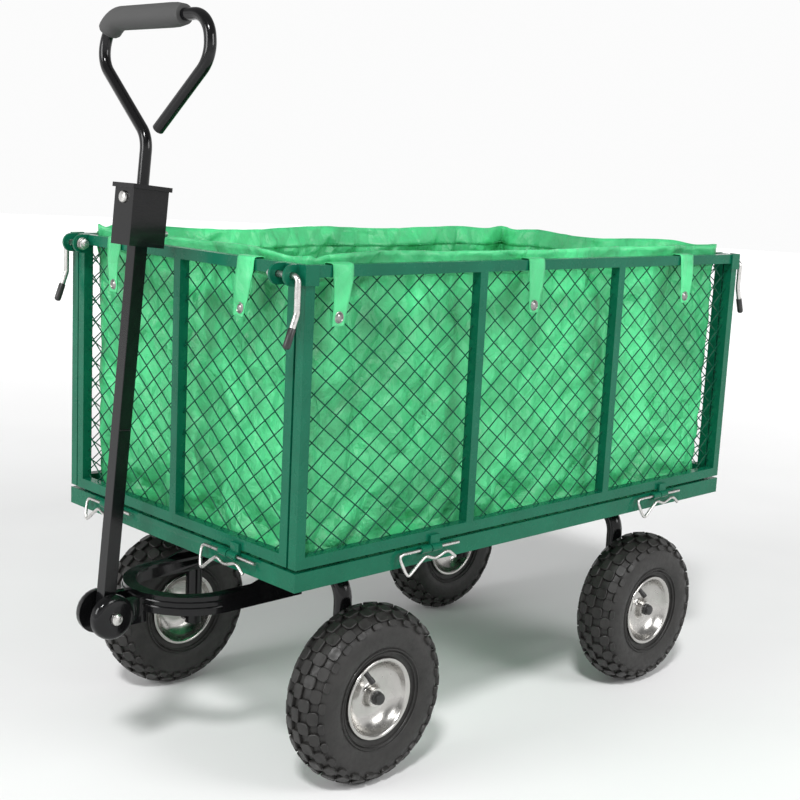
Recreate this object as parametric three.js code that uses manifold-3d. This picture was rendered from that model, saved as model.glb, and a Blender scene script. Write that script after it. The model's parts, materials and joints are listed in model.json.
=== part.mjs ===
// Garden cart: a steel mesh cart with four pneumatic wheels, a steered front axle, a fold-up pull
// handle with a tow sleeve, and a fabric bag that hangs from the side rails.
//
// Millimetres. +X is forward (towards the handle), +Y is the cart's left, +Z is up.
// The origin is on the ground, below the middle of the whole cart's box.

import * as THREE from 'three';
import { mergeVertices } from 'three/addons/utils/BufferGeometryUtils.js';
import Module from 'manifold-3d';

const wasm = await Module();
wasm.setup();

// ---------------------------------------------------------------- driving dimensions

const GAP = 0.3;                    // between pieces that touch

// Deck
const DECK_LENGTH = 956;
const DECK_WIDTH = 540;
const SKIRT_HEIGHT = 25;
const SHEET = 3;                    // thickness of the deck's folded steel
const LIP_WIDTH = 30;
const CROSS_BAR_WIDTH = 30;
const CROSS_BAR_HEIGHT = 16.7;
const CROSS_BAR_SPREAD = 45;        // from an axle's centre line to each of its two cross bars
const FLOOR_MESH = 0.8;             // sheet that stands for the floor's wire mesh
const FLOOR_INSET = 6;

// Side panels
const PANEL_HEIGHT = 385;
const PANEL_GAP = 4.4;              // between the deck's top and a panel's bottom rail
const TUBE = 15;                    // square tube of the panels
const CORNER_GAP = 3.3;             // between a long panel and the end of a short one
const MESH_THICKNESS = 0.8;         // sheet that stands for a panel's wire mesh
const MESH_OVERLAP = 7;             // how far the mesh laps onto its frame
const LONG_UPRIGHTS = 2;
const SHORT_UPRIGHTS = 1;

// Hinges and their spring-wire pins
const HINGE_OUT = 6;                // from a panel's outer face to the hinge axis
const HINGE_BELOW = 4;              // from the deck's top down to the hinge axis
const BARREL_RADIUS = 5.5;
const BARREL_LENGTH = 18;
const BARREL_START = 40;            // from a pin's bend to the deck's barrel
const BARREL_GAP = 2;               // between the deck's barrel and the panel's
const HINGE_TAB_LAP = 9;            // how far a panel's hinge tab laps up its bottom rail
const HINGE_TAB_THICKNESS = 4;
const PIN_WIRE = 4.5;
const PIN_CLEARANCE = 0.65;
const PIN_LENGTH = 115;
const PIN_BACK_LEG = 8;             // how far outward the pin's waved leg stands from its straight leg
const FRONT_PINS = [-211, 81];      // where the pins' bends are, along the front and rear sides
const SIDE_PINS = [-300, 238];      // and along the left and right sides

// Corner latches
const LATCH_ROD = 8;
const LATCH_HEIGHT = 13;            // from the panel's top down to the latch rod
const LATCH_OUT = 11;               // from the short panel's face forward to the latch rod
const EAR_RADIUS = 13.5;
const EAR_PLATE = 4;
const EAR_INNER = 226;              // from the middle to the short panel's ear
const EAR_STEP = 28;                // from the short panel's ear to the long panel's
const BRACKET_PLATE = 2.5;
const BRACKET_HEIGHT = 26;
const BRACKET_LAP = 22;
const LATCH_CLEARANCE = 0.6;
const LATCH_BUTTON_RADIUS = 8;
const LATCH_BUTTON_LENGTH = 8;
const LATCH_BUTTON_GAP = 1;         // from the button to the short panel's ear
const LATCH_ROD_END = 14;           // how far the rod runs on inside the short panel's ear
const LATCH_DROP = 45;              // straight part of the hanging lever
const LATCH_TIP = 44;               // its bent end
const LATCH_TIP_ANGLE = 20;
const LATCH_GRIP_RADIUS = 5;
const LATCH_GRIP_LENGTH = 26;

// Fabric bag and its straps
const BAG_CLEARANCE = 1.2;
const BAG_WALL = 2;
const BAG_ABOVE_RAIL = 11;
const STRAP_WIDTH = 34;
const STRAP_THICKNESS = 1.6;
const STRAP_DROP = 76;              // on the outside, from the rail's top
const STRAP_TUCK = 4.5;             // on the inside
const SHORT_STRAPS = [-153, 153];
const LONG_STRAPS = [-419, -49, 325];

// Wheels
const TYRE_RADIUS = 127;
const TYRE_WIDTH = 76;
const TYRE_WALL = 8;
const TYRE_BEAD = 14;               // from the rim's edge out to where the tyre is almost full width
const RIM_RADIUS = 59;
const RIM_HALF_WIDTH = 32;
const RIM_SHEET = 3;
const HUB_RADIUS = 14;
const HUB_HALF_LENGTH = 23;
const TRACK = 462;
const AXLE_RADIUS = 8;
const AXLE_CLEARANCE = 0.35;
const WASHER_RADIUS = 13;

// Axles and turntable
const FRONT_AXLE_SETBACK = 168;     // from the deck's end
const REAR_AXLE_SETBACK = 161;
const BEAM_RADIUS = 13;
const BEAM_RISE = 161;              // from the wheels' axis up to the beam
const BEAM_BEND = 40;
const LEG_TO_TYRE = 2.5;
const SADDLE_HEIGHT = 8;
const TURNTABLE_PLATE = 4.7;
const TURNTABLE_RADIUS = 62;
const KINGPIN_RADIUS = 8;
const KINGPIN_CLEARANCE = 0.8;

// Tongue and its fork
const TONGUE_REACH = 62;            // from the deck's front to the tongue's front
const TONGUE_HALF_WIDTH = 93;
const TONGUE_HEIGHT = 26;
const TONGUE_PLATE = 4;
const TONGUE_FLANGE = 18;
const TONGUE_BELOW_BEAM = 16;
const FORK_REACH = 45;              // from the tongue's front to the handle's pivot
const CHEEK_RADIUS = 31;
const CHEEK_THICKNESS = 14;
const CHEEK_ROUNDING = 8;
const FORK_CLEARANCE = 4.5;         // between the handle's tube and each cheek
const PIVOT_BOLT_RADIUS = 6;
const PIVOT_CLEARANCE = 0.5;
const BOLT_HEAD_RADIUS = 8.5;
const BOLT_HEAD_HEIGHT = 7;

// Handle, measured along it from its pivot
const HANDLE_LEAN = 5;              // degrees back from upright
const HANDLE_TUBE = 19;             // square tube
const HANDLE_TAIL = 20;
const SLEEVE_START = 500;
const SLEEVE_LENGTH = 80;
const SLEEVE_WIDTH = 44;
const SLEEVE_DEPTH = 54;
const SLEEVE_WALL = 3;
const SLEEVE_LIP = 3;
const SLEEVE_LIP_HEIGHT = 6;
const TUBE_IN_SLEEVE = 40;
const STEM_IN_SLEEVE = 32;
const LOOP_TUBE_RADIUS = 8;
const LOOP_START = 62;              // from the sleeve's top to the loop's lower corner
const LOOP_HALF_WIDTH = 124;
const LOOP_SHOULDER = 100;          // from the lower corner up to the loop's widest point
const LOOP_HEIGHT = 155;            // from the lower corner up to the grip
const LOOP_TOP_HALF = 112;
const LOOP_END_OFFSET = 24;
const GRIP_RADIUS = 16;
const GRIP_END = 60;                // the foam's free end, from the middle
const HITCH_PIN_RADIUS = 4.5;
const HITCH_PIN_UP = 19;            // from the sleeve's lower end to the hitch pin
const HITCH_PIN_STUB = 17;
const HITCH_RING_RADIUS = 9;
const HITCH_RING_WIRE = 1.8;
const SLEEVE_BOLT_DOWN = 18;        // from the sleeve's top to the loop's bolt
const SLEEVE_BOLT_RADIUS = 4;

// ---------------------------------------------------------------- sizes that follow from them

const halfLength = DECK_LENGTH / 2;
const halfWidth = DECK_WIDTH / 2;
const beamZ = TYRE_RADIUS + BEAM_RISE;
const beamTop = beamZ + BEAM_RADIUS;
const plateTop = beamTop + GAP + SADDLE_HEIGHT + TURNTABLE_PLATE;
const barBottom = plateTop + GAP + TURNTABLE_PLATE + GAP;
const deckTop = barBottom + CROSS_BAR_HEIGHT + SHEET;
const deckBottom = deckTop - SKIRT_HEIGHT;
const panelBottom = deckTop + PANEL_GAP;
const panelTop = panelBottom + PANEL_HEIGHT;
const frontAxleX = halfLength - FRONT_AXLE_SETBACK;
const rearAxleX = -(halfLength - REAR_AXLE_SETBACK);
const wheelY = TRACK / 2;
const legY = wheelY - TYRE_WIDTH / 2 - LEG_TO_TYRE - BEAM_RADIUS;
const tongueTop = beamZ - BEAM_RADIUS - TONGUE_BELOW_BEAM;
const tongueBottom = tongueTop - TONGUE_HEIGHT;
const tongueFront = halfLength + TONGUE_REACH;
const pivotX = tongueFront + FORK_REACH;
const pivotZ = tongueBottom;
const latchZ = panelTop - LATCH_HEIGHT;
const latchX = halfLength + LATCH_OUT;
const outerEar = EAR_INNER + EAR_STEP;
const leverY = Math.max(outerEar + EAR_PLATE, halfWidth - LATCH_ROD) + LATCH_ROD / 2 + 2.6;
const hingeZ = deckTop - HINGE_BELOW;
const bagInset = TUBE + GAP + MESH_THICKNESS + BAG_CLEARANCE;

// ---------------------------------------------------------------- shape helpers

function box(size, centre) {
  return new THREE.BoxGeometry(...size).translate(...centre);
}

// A cylinder between two values along one axis; at holds its other two coordinates in x, y, z order.
function rod(axis, radius, from, to, at, sides = 16) {
  const shape = new THREE.CylinderGeometry(radius, radius, to - from, sides);
  const middle = (from + to) / 2;
  if (axis === 'x') {
    return shape.rotateZ(Math.PI / 2).translate(middle, at[0], at[1]);
  }
  if (axis === 'y') {
    return shape.translate(at[0], middle, at[1]);
  }
  return shape.rotateX(Math.PI / 2).translate(at[0], at[1], middle);
}

function signedVolume(geometry) {
  const [a, b, c] = [new THREE.Vector3(), new THREE.Vector3(), new THREE.Vector3()];
  const index = geometry.index.array;
  const position = geometry.attributes.position;
  let volume = 0;
  for (let i = 0; i < index.length; i += 3) {
    a.fromBufferAttribute(position, index[i]);
    b.fromBufferAttribute(position, index[i + 1]);
    c.fromBufferAttribute(position, index[i + 2]);
    volume += a.dot(b.cross(c)) / 6;
  }
  return volume;
}

// One closed skin with shared corners and its faces pointing out.
function skin(geometry) {
  const bare = geometry.clone();
  bare.deleteAttribute('normal');
  bare.deleteAttribute('uv');
  const merged = mergeVertices(bare, 1e-4);
  const index = [...merged.index.array];
  const kept = [];
  for (let i = 0; i < index.length; i += 3) {
    const [p, q, r] = index.slice(i, i + 3);
    if (p !== q && q !== r && r !== p) {
      kept.push(p, q, r);
    }
  }
  merged.setIndex(kept);
  if (signedVolume(merged) < 0) {
    merged.setIndex(kept.reverse());
  }
  return merged;
}

function toSolid(geometry) {
  const merged = skin(geometry);
  return new wasm.Manifold(new wasm.Mesh({
    numProp: 3,
    vertProperties: new Float32Array(merged.attributes.position.array),
    triVerts: new Uint32Array(merged.index.array),
  }));
}

// The union of some shapes, with other shapes cut out of it.
function combine(shapes, cuts = []) {
  let solid = toSolid(shapes[0]);
  for (const shape of shapes.slice(1)) {
    solid = solid.add(toSolid(shape));
  }
  for (const cut of cuts) {
    solid = solid.subtract(toSolid(cut));
  }
  const mesh = solid.getMesh();
  const geometry = new THREE.BufferGeometry();
  geometry.setAttribute('position', new THREE.BufferAttribute(mesh.vertProperties, 3));
  geometry.setIndex(new THREE.BufferAttribute(mesh.triVerts, 1));
  geometry.computeVertexNormals();
  return geometry;
}

// A path with one ring of the swept section at each of its points.
class Route extends THREE.Curve {
  constructor(points) {
    super();
    this.points = points;
  }

  getPoint(t) {
    const place = t * (this.points.length - 1);
    const first = Math.min(Math.floor(place), this.points.length - 2);
    return this.points[first].clone().lerp(this.points[first + 1], place - first);
  }

  getPointAt(u) {
    return this.getPoint(u);
  }

  getTangentAt(u) {
    const last = this.points.length - 1;
    const here = Math.round(u * last);
    const tangent = new THREE.Vector3();
    if (here > 0) {
      tangent.add(this.points[here].clone().sub(this.points[here - 1]).normalize());
    }
    if (here < last) {
      tangent.add(this.points[here + 1].clone().sub(this.points[here]).normalize());
    }
    return tangent.normalize();
  }
}

// Straight runs between corners, with each corner rounded to a radius by a few steps.
function bentPoints(corners, radius, steps = 4) {
  const points = [corners[0]];
  for (let i = 1; i < corners.length - 1; i += 1) {
    const back = corners[i - 1].clone().sub(corners[i]).normalize();
    const on = corners[i + 1].clone().sub(corners[i]).normalize();
    const half = back.angleTo(on) / 2;
    const reach = radius / Math.tan(half);
    const centre = corners[i].clone().add(
      back.clone().add(on).normalize().multiplyScalar(radius / Math.sin(half)));
    const start = corners[i].clone().addScaledVector(back, reach).sub(centre);
    const end = corners[i].clone().addScaledVector(on, reach).sub(centre);
    const turn = start.angleTo(end);
    for (let k = 0; k <= steps; k += 1) {
      const along = (turn * k) / steps;
      points.push(centre.clone()
        .addScaledVector(start, Math.sin(turn - along) / Math.sin(turn))
        .addScaledVector(end, Math.sin(along) / Math.sin(turn)));
    }
  }
  points.push(corners[corners.length - 1]);
  return points;
}

function circleShape(radius, sides) {
  const points = [];
  for (let i = 0; i < sides; i += 1) {
    const angle = (2 * Math.PI * i) / sides;
    points.push(new THREE.Vector2(radius * Math.cos(angle), radius * Math.sin(angle)));
  }
  return new THREE.Shape(points);
}

function sweep(shape, points) {
  return new THREE.ExtrudeGeometry(shape, {
    steps: points.length - 1,
    extrudePath: new Route(points),
    curveSegments: 8,
  });
}

// ---------------------------------------------------------------- materials

function material(colour, roughness, metalness) {
  return new THREE.MeshStandardMaterial({ color: colour, roughness, metalness });
}

const greenPaint = material(0x1b6e52, 0.45, 0.2);
const blackPaint = material(0x161616, 0.35, 0.3);
const zinc = material(0xc9cbcd, 0.3, 1.0);
const tyreRubber = material(0x2c2a28, 0.85, 0.0);
const greenFabric = material(0x4fc57f, 0.75, 0.0);
const blackFoam = material(0x3a3937, 0.9, 0.0);

const cart = new THREE.Group();

function place(name, geometry, look, parent = cart) {
  const mesh = new THREE.Mesh(geometry, look);
  mesh.name = name;
  parent.add(mesh);
  return mesh;
}

// ---------------------------------------------------------------- deck

const sides = [
  { name: 'front', turn: 0, face: halfLength, run: DECK_WIDTH, pins: FRONT_PINS, long: false },
  { name: 'left', turn: 1, face: halfWidth, run: DECK_LENGTH, pins: SIDE_PINS, long: true },
  { name: 'rear', turn: 2, face: halfLength, run: DECK_WIDTH, pins: FRONT_PINS, long: false },
  { name: 'right', turn: 3, face: halfWidth, run: DECK_LENGTH, pins: SIDE_PINS, long: true },
];

// A side's own frame has x pointing out of the side and y running along it, anticlockwise from above.
function toSideFrame(geometry, side) {
  return geometry.rotateZ((side.turn * Math.PI) / 2);
}

function hingeBore(side, bend) {
  const radius = PIN_WIRE / 2 + PIN_CLEARANCE;
  return rod('y', radius, bend + 5, bend + PIN_LENGTH, [side.face + HINGE_OUT, hingeZ], 8);
}

function deckBarrel(side, bend) {
  const from = bend + BARREL_START;
  return combine([
    rod('y', BARREL_RADIUS, from, from + BARREL_LENGTH, [side.face + HINGE_OUT, hingeZ], 10),
    box([HINGE_OUT + 2, BARREL_LENGTH, 5],
      [side.face + HINGE_OUT / 2 - 1, from + BARREL_LENGTH / 2, hingeZ - 2.5]),
  ], [hingeBore(side, bend)]);
}

function panelBarrel(side, bend) {
  const from = bend + BARREL_START + BARREL_LENGTH + BARREL_GAP;
  const middle = from + BARREL_LENGTH / 2;
  const tabTop = panelBottom + HINGE_TAB_LAP;
  return combine([
    rod('y', BARREL_RADIUS, from, from + BARREL_LENGTH, [side.face + HINGE_OUT, hingeZ], 10),
    box([HINGE_TAB_THICKNESS, BARREL_LENGTH, tabTop - hingeZ],
      [side.face + HINGE_OUT / 2, middle, (tabTop + hingeZ) / 2]),
    box([5, BARREL_LENGTH, 8], [side.face, middle, tabTop - 4]),
  ], [hingeBore(side, bend)]);
}

function crossBar(x) {
  const length = DECK_WIDTH - SHEET;
  return box([CROSS_BAR_WIDTH, length, CROSS_BAR_HEIGHT + 1], [x, 0, barBottom + (CROSS_BAR_HEIGHT + 1) / 2]);
}

function makeDeck() {
  const shapes = [
    combine(
      [box([DECK_LENGTH, DECK_WIDTH, SKIRT_HEIGHT], [0, 0, deckBottom + SKIRT_HEIGHT / 2])],
      [
        box([DECK_LENGTH - 2 * SHEET, DECK_WIDTH - 2 * SHEET, SKIRT_HEIGHT],
          [0, 0, deckTop - SHEET - SKIRT_HEIGHT / 2]),
        box([DECK_LENGTH - 2 * LIP_WIDTH, DECK_WIDTH - 2 * LIP_WIDTH, SKIRT_HEIGHT * 3], [0, 0, deckTop]),
      ],
    ),
    crossBar(0),
  ];
  for (const axle of [frontAxleX, rearAxleX]) {
    shapes.push(crossBar(axle - CROSS_BAR_SPREAD), crossBar(axle + CROSS_BAR_SPREAD));
  }
  for (const side of sides) {
    for (const bend of side.pins) {
      shapes.push(toSideFrame(deckBarrel(side, bend), side));
    }
  }
  place('deck_frame', combine(shapes), greenPaint);
  place('deck_mesh', box(
    [DECK_LENGTH - 2 * FLOOR_INSET, DECK_WIDTH - 2 * FLOOR_INSET, FLOOR_MESH],
    [0, 0, deckTop + GAP + FLOOR_MESH / 2]), greenPaint);
}

// ---------------------------------------------------------------- side panels

// The plate that the latch rod passes through: square at the panel and round at its free end.
function ear(innerY, backX, extraCut = []) {
  const height = 2 * EAR_RADIUS;
  const hole = rod('y', LATCH_ROD / 2 + LATCH_CLEARANCE, innerY - 5, innerY + EAR_PLATE + 5,
    [latchX, latchZ], 12);
  return combine([
    box([latchX - backX, EAR_PLATE, height], [(latchX + backX) / 2, innerY + EAR_PLATE / 2, latchZ]),
    rod('y', EAR_RADIUS, innerY, innerY + EAR_PLATE, [latchX, latchZ], 20),
  ], [hole, ...extraCut]);
}

function makePanel(side) {
  const halfRun = side.long
    ? side.run / 2 - 0.5
    : halfWidth - TUBE - CORNER_GAP;
  const middleX = side.face - TUBE / 2;
  const middleZ = (panelBottom + panelTop) / 2;
  const shapes = [];
  for (const railZ of [panelBottom + TUBE / 2, panelTop - TUBE / 2]) {
    shapes.push(box([TUBE, 2 * halfRun, TUBE], [middleX, 0, railZ]));
  }
  const bays = (side.long ? LONG_UPRIGHTS : SHORT_UPRIGHTS) + 1;
  for (let i = 0; i <= bays; i += 1) {
    const y = (i / bays - 0.5) * (2 * halfRun - TUBE);
    shapes.push(box([TUBE, TUBE, PANEL_HEIGHT - 2], [middleX, y, middleZ]));
  }
  for (const bend of side.pins) {
    shapes.push(panelBarrel(side, bend));
  }
  if (!side.long) {
    shapes.push(ear(EAR_INNER, side.face - 2));
    shapes.push(ear(-EAR_INNER - EAR_PLATE, side.face - 2));
  }
  place(`panel_${side.name}_frame`, toSideFrame(combine(shapes), side), greenPaint);

  const meshHalf = halfRun - TUBE + MESH_OVERLAP;
  const meshHeight = PANEL_HEIGHT - 2 * (TUBE - MESH_OVERLAP);
  const sheet = box([MESH_THICKNESS, 2 * meshHalf, meshHeight],
    [side.face - TUBE - GAP - MESH_THICKNESS / 2, 0, middleZ]);
  place(`panel_${side.name}_mesh`, toSideFrame(sheet, side), greenPaint);
}

// ---------------------------------------------------------------- hinge pins

// Spring wire: a straight leg through the barrels, a deep V at the bend, and a waved leg in front.
function hingePin(side, bend) {
  const x = side.face + HINGE_OUT;
  const out = x + PIN_BACK_LEG;
  const at = (outward, along, down) => new THREE.Vector3(outward, bend + along, hingeZ - down);
  const points = [
    at(x, PIN_LENGTH, 0),
    at(x, 6, 0),
    at(x, 2, 1),
    at(x + 1, 0, 4),
    at(out - 2, 6, 24),
    at(out, 10, 29),
    at(out, 15, 27),
    at(out, 40, 8),
    at(out, 46, 7.5),
    at(out, 60, 12),
    at(out, 83, 6),
    at(out, 88, 7),
    at(out, 101, 17),
  ];
  return sweep(circleShape(PIN_WIRE / 2, 6), points);
}

function makeHingePins(side) {
  side.pins.forEach((bend, i) => {
    place(`hinge_pin_${side.name}_${i + 1}`, toSideFrame(hingePin(side, bend), side), zinc);
  });
}

// ---------------------------------------------------------------- corner latches

function latchBracket() {
  const top = panelTop + 1;
  const middleZ = top - BRACKET_HEIGHT / 2;
  const frontX = halfLength - 0.5 + GAP;
  const sideY = halfWidth + GAP;
  const innerY = outerEar;
  return combine([
    box([BRACKET_PLATE, sideY + BRACKET_PLATE - innerY, BRACKET_HEIGHT],
      [frontX + BRACKET_PLATE / 2, (sideY + BRACKET_PLATE + innerY) / 2, middleZ]),
    box([BRACKET_LAP, BRACKET_PLATE, BRACKET_HEIGHT],
      [frontX + BRACKET_PLATE - BRACKET_LAP / 2, sideY + BRACKET_PLATE / 2, middleZ]),
    ear(outerEar, frontX),
  ], [
    box([LATCH_OUT * 2, EAR_PLATE * 3, 4 * EAR_RADIUS], [frontX - LATCH_OUT, outerEar, latchZ]),
  ]);
}

function latchLever() {
  const tip = THREE.MathUtils.degToRad(LATCH_TIP_ANGLE);
  const innerEnd = EAR_INNER - LATCH_ROD_END;
  const buttonEnd = EAR_INNER - LATCH_BUTTON_GAP;
  const knee = latchZ - LATCH_DROP;
  const corners = [
    new THREE.Vector3(latchX, innerEnd, latchZ),
    new THREE.Vector3(latchX, leverY, latchZ),
    new THREE.Vector3(latchX, leverY, knee),
    new THREE.Vector3(latchX + LATCH_TIP * Math.sin(tip), leverY, knee - LATCH_TIP * Math.cos(tip)),
  ];
  const end = corners[3];
  const grip = new THREE.CylinderGeometry(LATCH_GRIP_RADIUS, LATCH_GRIP_RADIUS, LATCH_GRIP_LENGTH, 8)
    .translate(0, LATCH_GRIP_LENGTH / 2 - 2, 0)
    .rotateX(Math.PI / 2)
    .rotateY(-tip)
    .translate(end.x, end.y, end.z);
  return combine([
    sweep(circleShape(LATCH_ROD / 2, 8), bentPoints(corners, 7, 3)),
    rod('y', LATCH_BUTTON_RADIUS, buttonEnd - LATCH_BUTTON_LENGTH, buttonEnd, [latchX, latchZ], 6),
    grip,
  ]);
}

function makeCorners() {
  for (const [end, scaleX] of [['front', 1], ['rear', -1]]) {
    for (const [hand, scaleY] of [['left', 1], ['right', -1]]) {
      const corner = new THREE.Group();
      corner.scale.set(scaleX, scaleY, 1);
      place(`latch_bracket_${end}_${hand}`, latchBracket(), greenPaint, corner);
      place(`latch_lever_${end}_${hand}`, latchLever(), zinc, corner);
      cart.add(corner);
    }
  }
}

// ---------------------------------------------------------------- fabric bag and straps

function makeBag() {
  const outerX = 2 * (halfLength - bagInset);
  const outerY = 2 * (halfWidth - bagInset);
  const bottom = deckTop + GAP + FLOOR_MESH + GAP;
  const height = panelTop + BAG_ABOVE_RAIL - bottom;
  place('liner_bag', combine(
    [box([outerX, outerY, height], [0, 0, bottom + height / 2])],
    [box([outerX - 2 * BAG_WALL, outerY - 2 * BAG_WALL, height], [0, 0, bottom + BAG_WALL + height / 2])],
  ), greenFabric);
}

// A strap over a side's top rail: a short end inside, the width of the rail, and a long end outside.
function strap(side, middle) {
  const inner = side.face - TUBE - GAP;
  const outer = side.face + GAP;
  const under = panelTop + GAP;
  const over = under + STRAP_THICKNESS;
  const outline = new THREE.Shape([
    new THREE.Vector2(inner, under - STRAP_TUCK),
    new THREE.Vector2(inner, under),
    new THREE.Vector2(outer, under),
    new THREE.Vector2(outer, over - STRAP_DROP),
    new THREE.Vector2(outer + STRAP_THICKNESS, over - STRAP_DROP),
    new THREE.Vector2(outer + STRAP_THICKNESS, over),
    new THREE.Vector2(inner - STRAP_THICKNESS, over),
    new THREE.Vector2(inner - STRAP_THICKNESS, under - STRAP_TUCK),
  ]);
  return new THREE.ExtrudeGeometry(outline, { depth: STRAP_WIDTH, bevelEnabled: false })
    .rotateX(Math.PI / 2)
    .translate(0, middle + STRAP_WIDTH / 2, 0);
}

function makeStraps(side) {
  const places = side.long ? LONG_STRAPS : SHORT_STRAPS;
  places.forEach((along, i) => {
    const middle = side.name === 'right' ? -along : along;
    place(`strap_${side.name}_${i + 1}`, toSideFrame(strap(side, middle), side), greenFabric);
  });
}

// ---------------------------------------------------------------- wheels

function latheRing(points, segments) {
  const profile = points.map(([r, y]) => new THREE.Vector2(r, y));
  profile.push(profile[0].clone());
  return skin(new THREE.LatheGeometry(profile, segments));
}

function tyre() {
  const half = TYRE_WIDTH / 2;
  const bead = RIM_RADIUS - RIM_SHEET;
  const outline = [
    [bead + 2, RIM_HALF_WIDTH - 8],
    [RIM_RADIUS + TYRE_BEAD, half - 2],
    [TYRE_RADIUS - 26, half],
    [TYRE_RADIUS - 9, half - 6],
    [TYRE_RADIUS, half - 16],
  ];
  const inside = [
    [TYRE_RADIUS - TYRE_WALL * 1.5, half - 17],
    [TYRE_RADIUS - 26, half - TYRE_WALL],
    [RIM_RADIUS + 10, half - TYRE_WALL - 6],
    [bead + 2, RIM_HALF_WIDTH - 14],
  ];
  const mirrored = (points) => points.map(([r, y]) => [r, -y]).reverse();
  return latheRing([...outline, ...mirrored(outline), ...mirrored(inside), ...inside], 24);
}

function rim() {
  const bead = RIM_RADIUS - RIM_SHEET;
  const web = RIM_HALF_WIDTH - 22;
  const bore = AXLE_RADIUS + AXLE_CLEARANCE;
  const face = [
    [bore, HUB_HALF_LENGTH],
    [HUB_RADIUS, HUB_HALF_LENGTH],
    [HUB_RADIUS + 2, web + 4],
    [bead - 22, web],
    [bead - 9, web + 4],
    [bead - 4, RIM_HALF_WIDTH],
    [RIM_RADIUS, RIM_HALF_WIDTH],
    [bead - 2, RIM_HALF_WIDTH - 6],
    [bead - 6, web - 2],
  ];
  const mirrored = face.map(([r, y]) => [r, -y]).reverse();
  return latheRing([...face, ...mirrored], 20);
}

function makeWheels() {
  for (const [end, x] of [['front', frontAxleX], ['rear', rearAxleX]]) {
    for (const [hand, sign] of [['left', 1], ['right', -1]]) {
      const wheel = new THREE.Group();
      wheel.position.set(x, sign * wheelY, TYRE_RADIUS);
      place(`tyre_${end}_${hand}`, tyre(), tyreRubber, wheel);
      place(`rim_${end}_${hand}`, rim(), zinc, wheel);
      cart.add(wheel);
    }
  }
}

// ---------------------------------------------------------------- axles and turntable

// A bent tube whose legs drop to the wheels, with a stub axle, collar, washer and nut at each leg.
function axle() {
  const legFoot = TYRE_RADIUS - BEAM_RADIUS - 1;
  const corners = [
    new THREE.Vector3(0, legY, legFoot),
    new THREE.Vector3(0, legY, beamZ),
    new THREE.Vector3(0, -legY, beamZ),
    new THREE.Vector3(0, -legY, legFoot),
  ];
  const shapes = [sweep(circleShape(BEAM_RADIUS, 12), bentPoints(corners, BEAM_BEND, 5))];
  const hubIn = wheelY - HUB_HALF_LENGTH - GAP;
  const hubOut = wheelY + HUB_HALF_LENGTH + GAP;
  for (const sign of [1, -1]) {
    const stretch = (radius, from, to) => rod('y', radius,
      Math.min(sign * from, sign * to), Math.max(sign * from, sign * to), [0, TYRE_RADIUS], 16);
    shapes.push(
      stretch(AXLE_RADIUS, legY, hubOut + 9),
      stretch(HUB_RADIUS - 2, legY, hubIn),
      stretch(WASHER_RADIUS, hubOut, hubOut + 2),
    );
  }
  return shapes;
}

function makeAxles() {
  place('front_axle', combine(axle()).translate(frontAxleX, 0, 0), blackPaint);
  const blocks = [1, -1].map((sign) => box(
    [2 * CROSS_BAR_SPREAD + CROSS_BAR_WIDTH, 40, barBottom - GAP - beamZ],
    [0, sign * (legY - 60), (barBottom - GAP + beamZ) / 2]));
  place('rear_axle', combine([...axle(), ...blocks]).translate(rearAxleX, 0, 0), blackPaint);
}

function makeTurntable() {
  const upperBottom = plateTop + GAP;
  const at = [frontAxleX, 0];
  place('turntable_upper', combine(
    [rod('z', TURNTABLE_RADIUS + 6, upperBottom, upperBottom + TURNTABLE_PLATE, at, 32)],
    [rod('z', KINGPIN_RADIUS + KINGPIN_CLEARANCE, upperBottom - 5, upperBottom + 10, at, 16)],
  ), blackPaint);
  const saddleBottom = beamTop + GAP;
  const nutBottom = upperBottom + TURNTABLE_PLATE + GAP;
  place('turntable_lower', combine([
    rod('z', TURNTABLE_RADIUS, plateTop - TURNTABLE_PLATE, plateTop, at, 32),
    box([60, 90, SADDLE_HEIGHT + 1], [frontAxleX, 0, saddleBottom + (SADDLE_HEIGHT + 1) / 2]),
    rod('z', KINGPIN_RADIUS, saddleBottom + 1, nutBottom + 13, at, 16),
    rod('z', KINGPIN_RADIUS + 5, nutBottom, nutBottom + 9, at, 6),
  ]), blackPaint);
}

// ---------------------------------------------------------------- tongue, fork and pivot bolt

function tongueBand() {
  const centreX = tongueFront - TONGUE_HALF_WIDTH;
  const path = TONGUE_HALF_WIDTH - TONGUE_PLATE / 2;
  const points = [new THREE.Vector3(frontAxleX + 4, path, tongueTop)];
  const steps = 16;
  for (let i = 0; i <= steps; i += 1) {
    const angle = Math.PI / 2 - (Math.PI * i) / steps;
    points.push(new THREE.Vector3(
      centreX + path * Math.cos(angle), path * Math.sin(angle), tongueTop));
  }
  points.push(new THREE.Vector3(frontAxleX + 4, -path, tongueTop));
  // The section's x points down and its y points outward.
  const outer = TONGUE_PLATE / 2;
  const section = new THREE.Shape([
    new THREE.Vector2(0, outer),
    new THREE.Vector2(0, outer - TONGUE_FLANGE),
    new THREE.Vector2(TONGUE_PLATE, outer - TONGUE_FLANGE),
    new THREE.Vector2(TONGUE_PLATE, -outer),
    new THREE.Vector2(TONGUE_HEIGHT, -outer),
    new THREE.Vector2(TONGUE_HEIGHT, outer),
  ]);
  return sweep(section, points);
}

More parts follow.
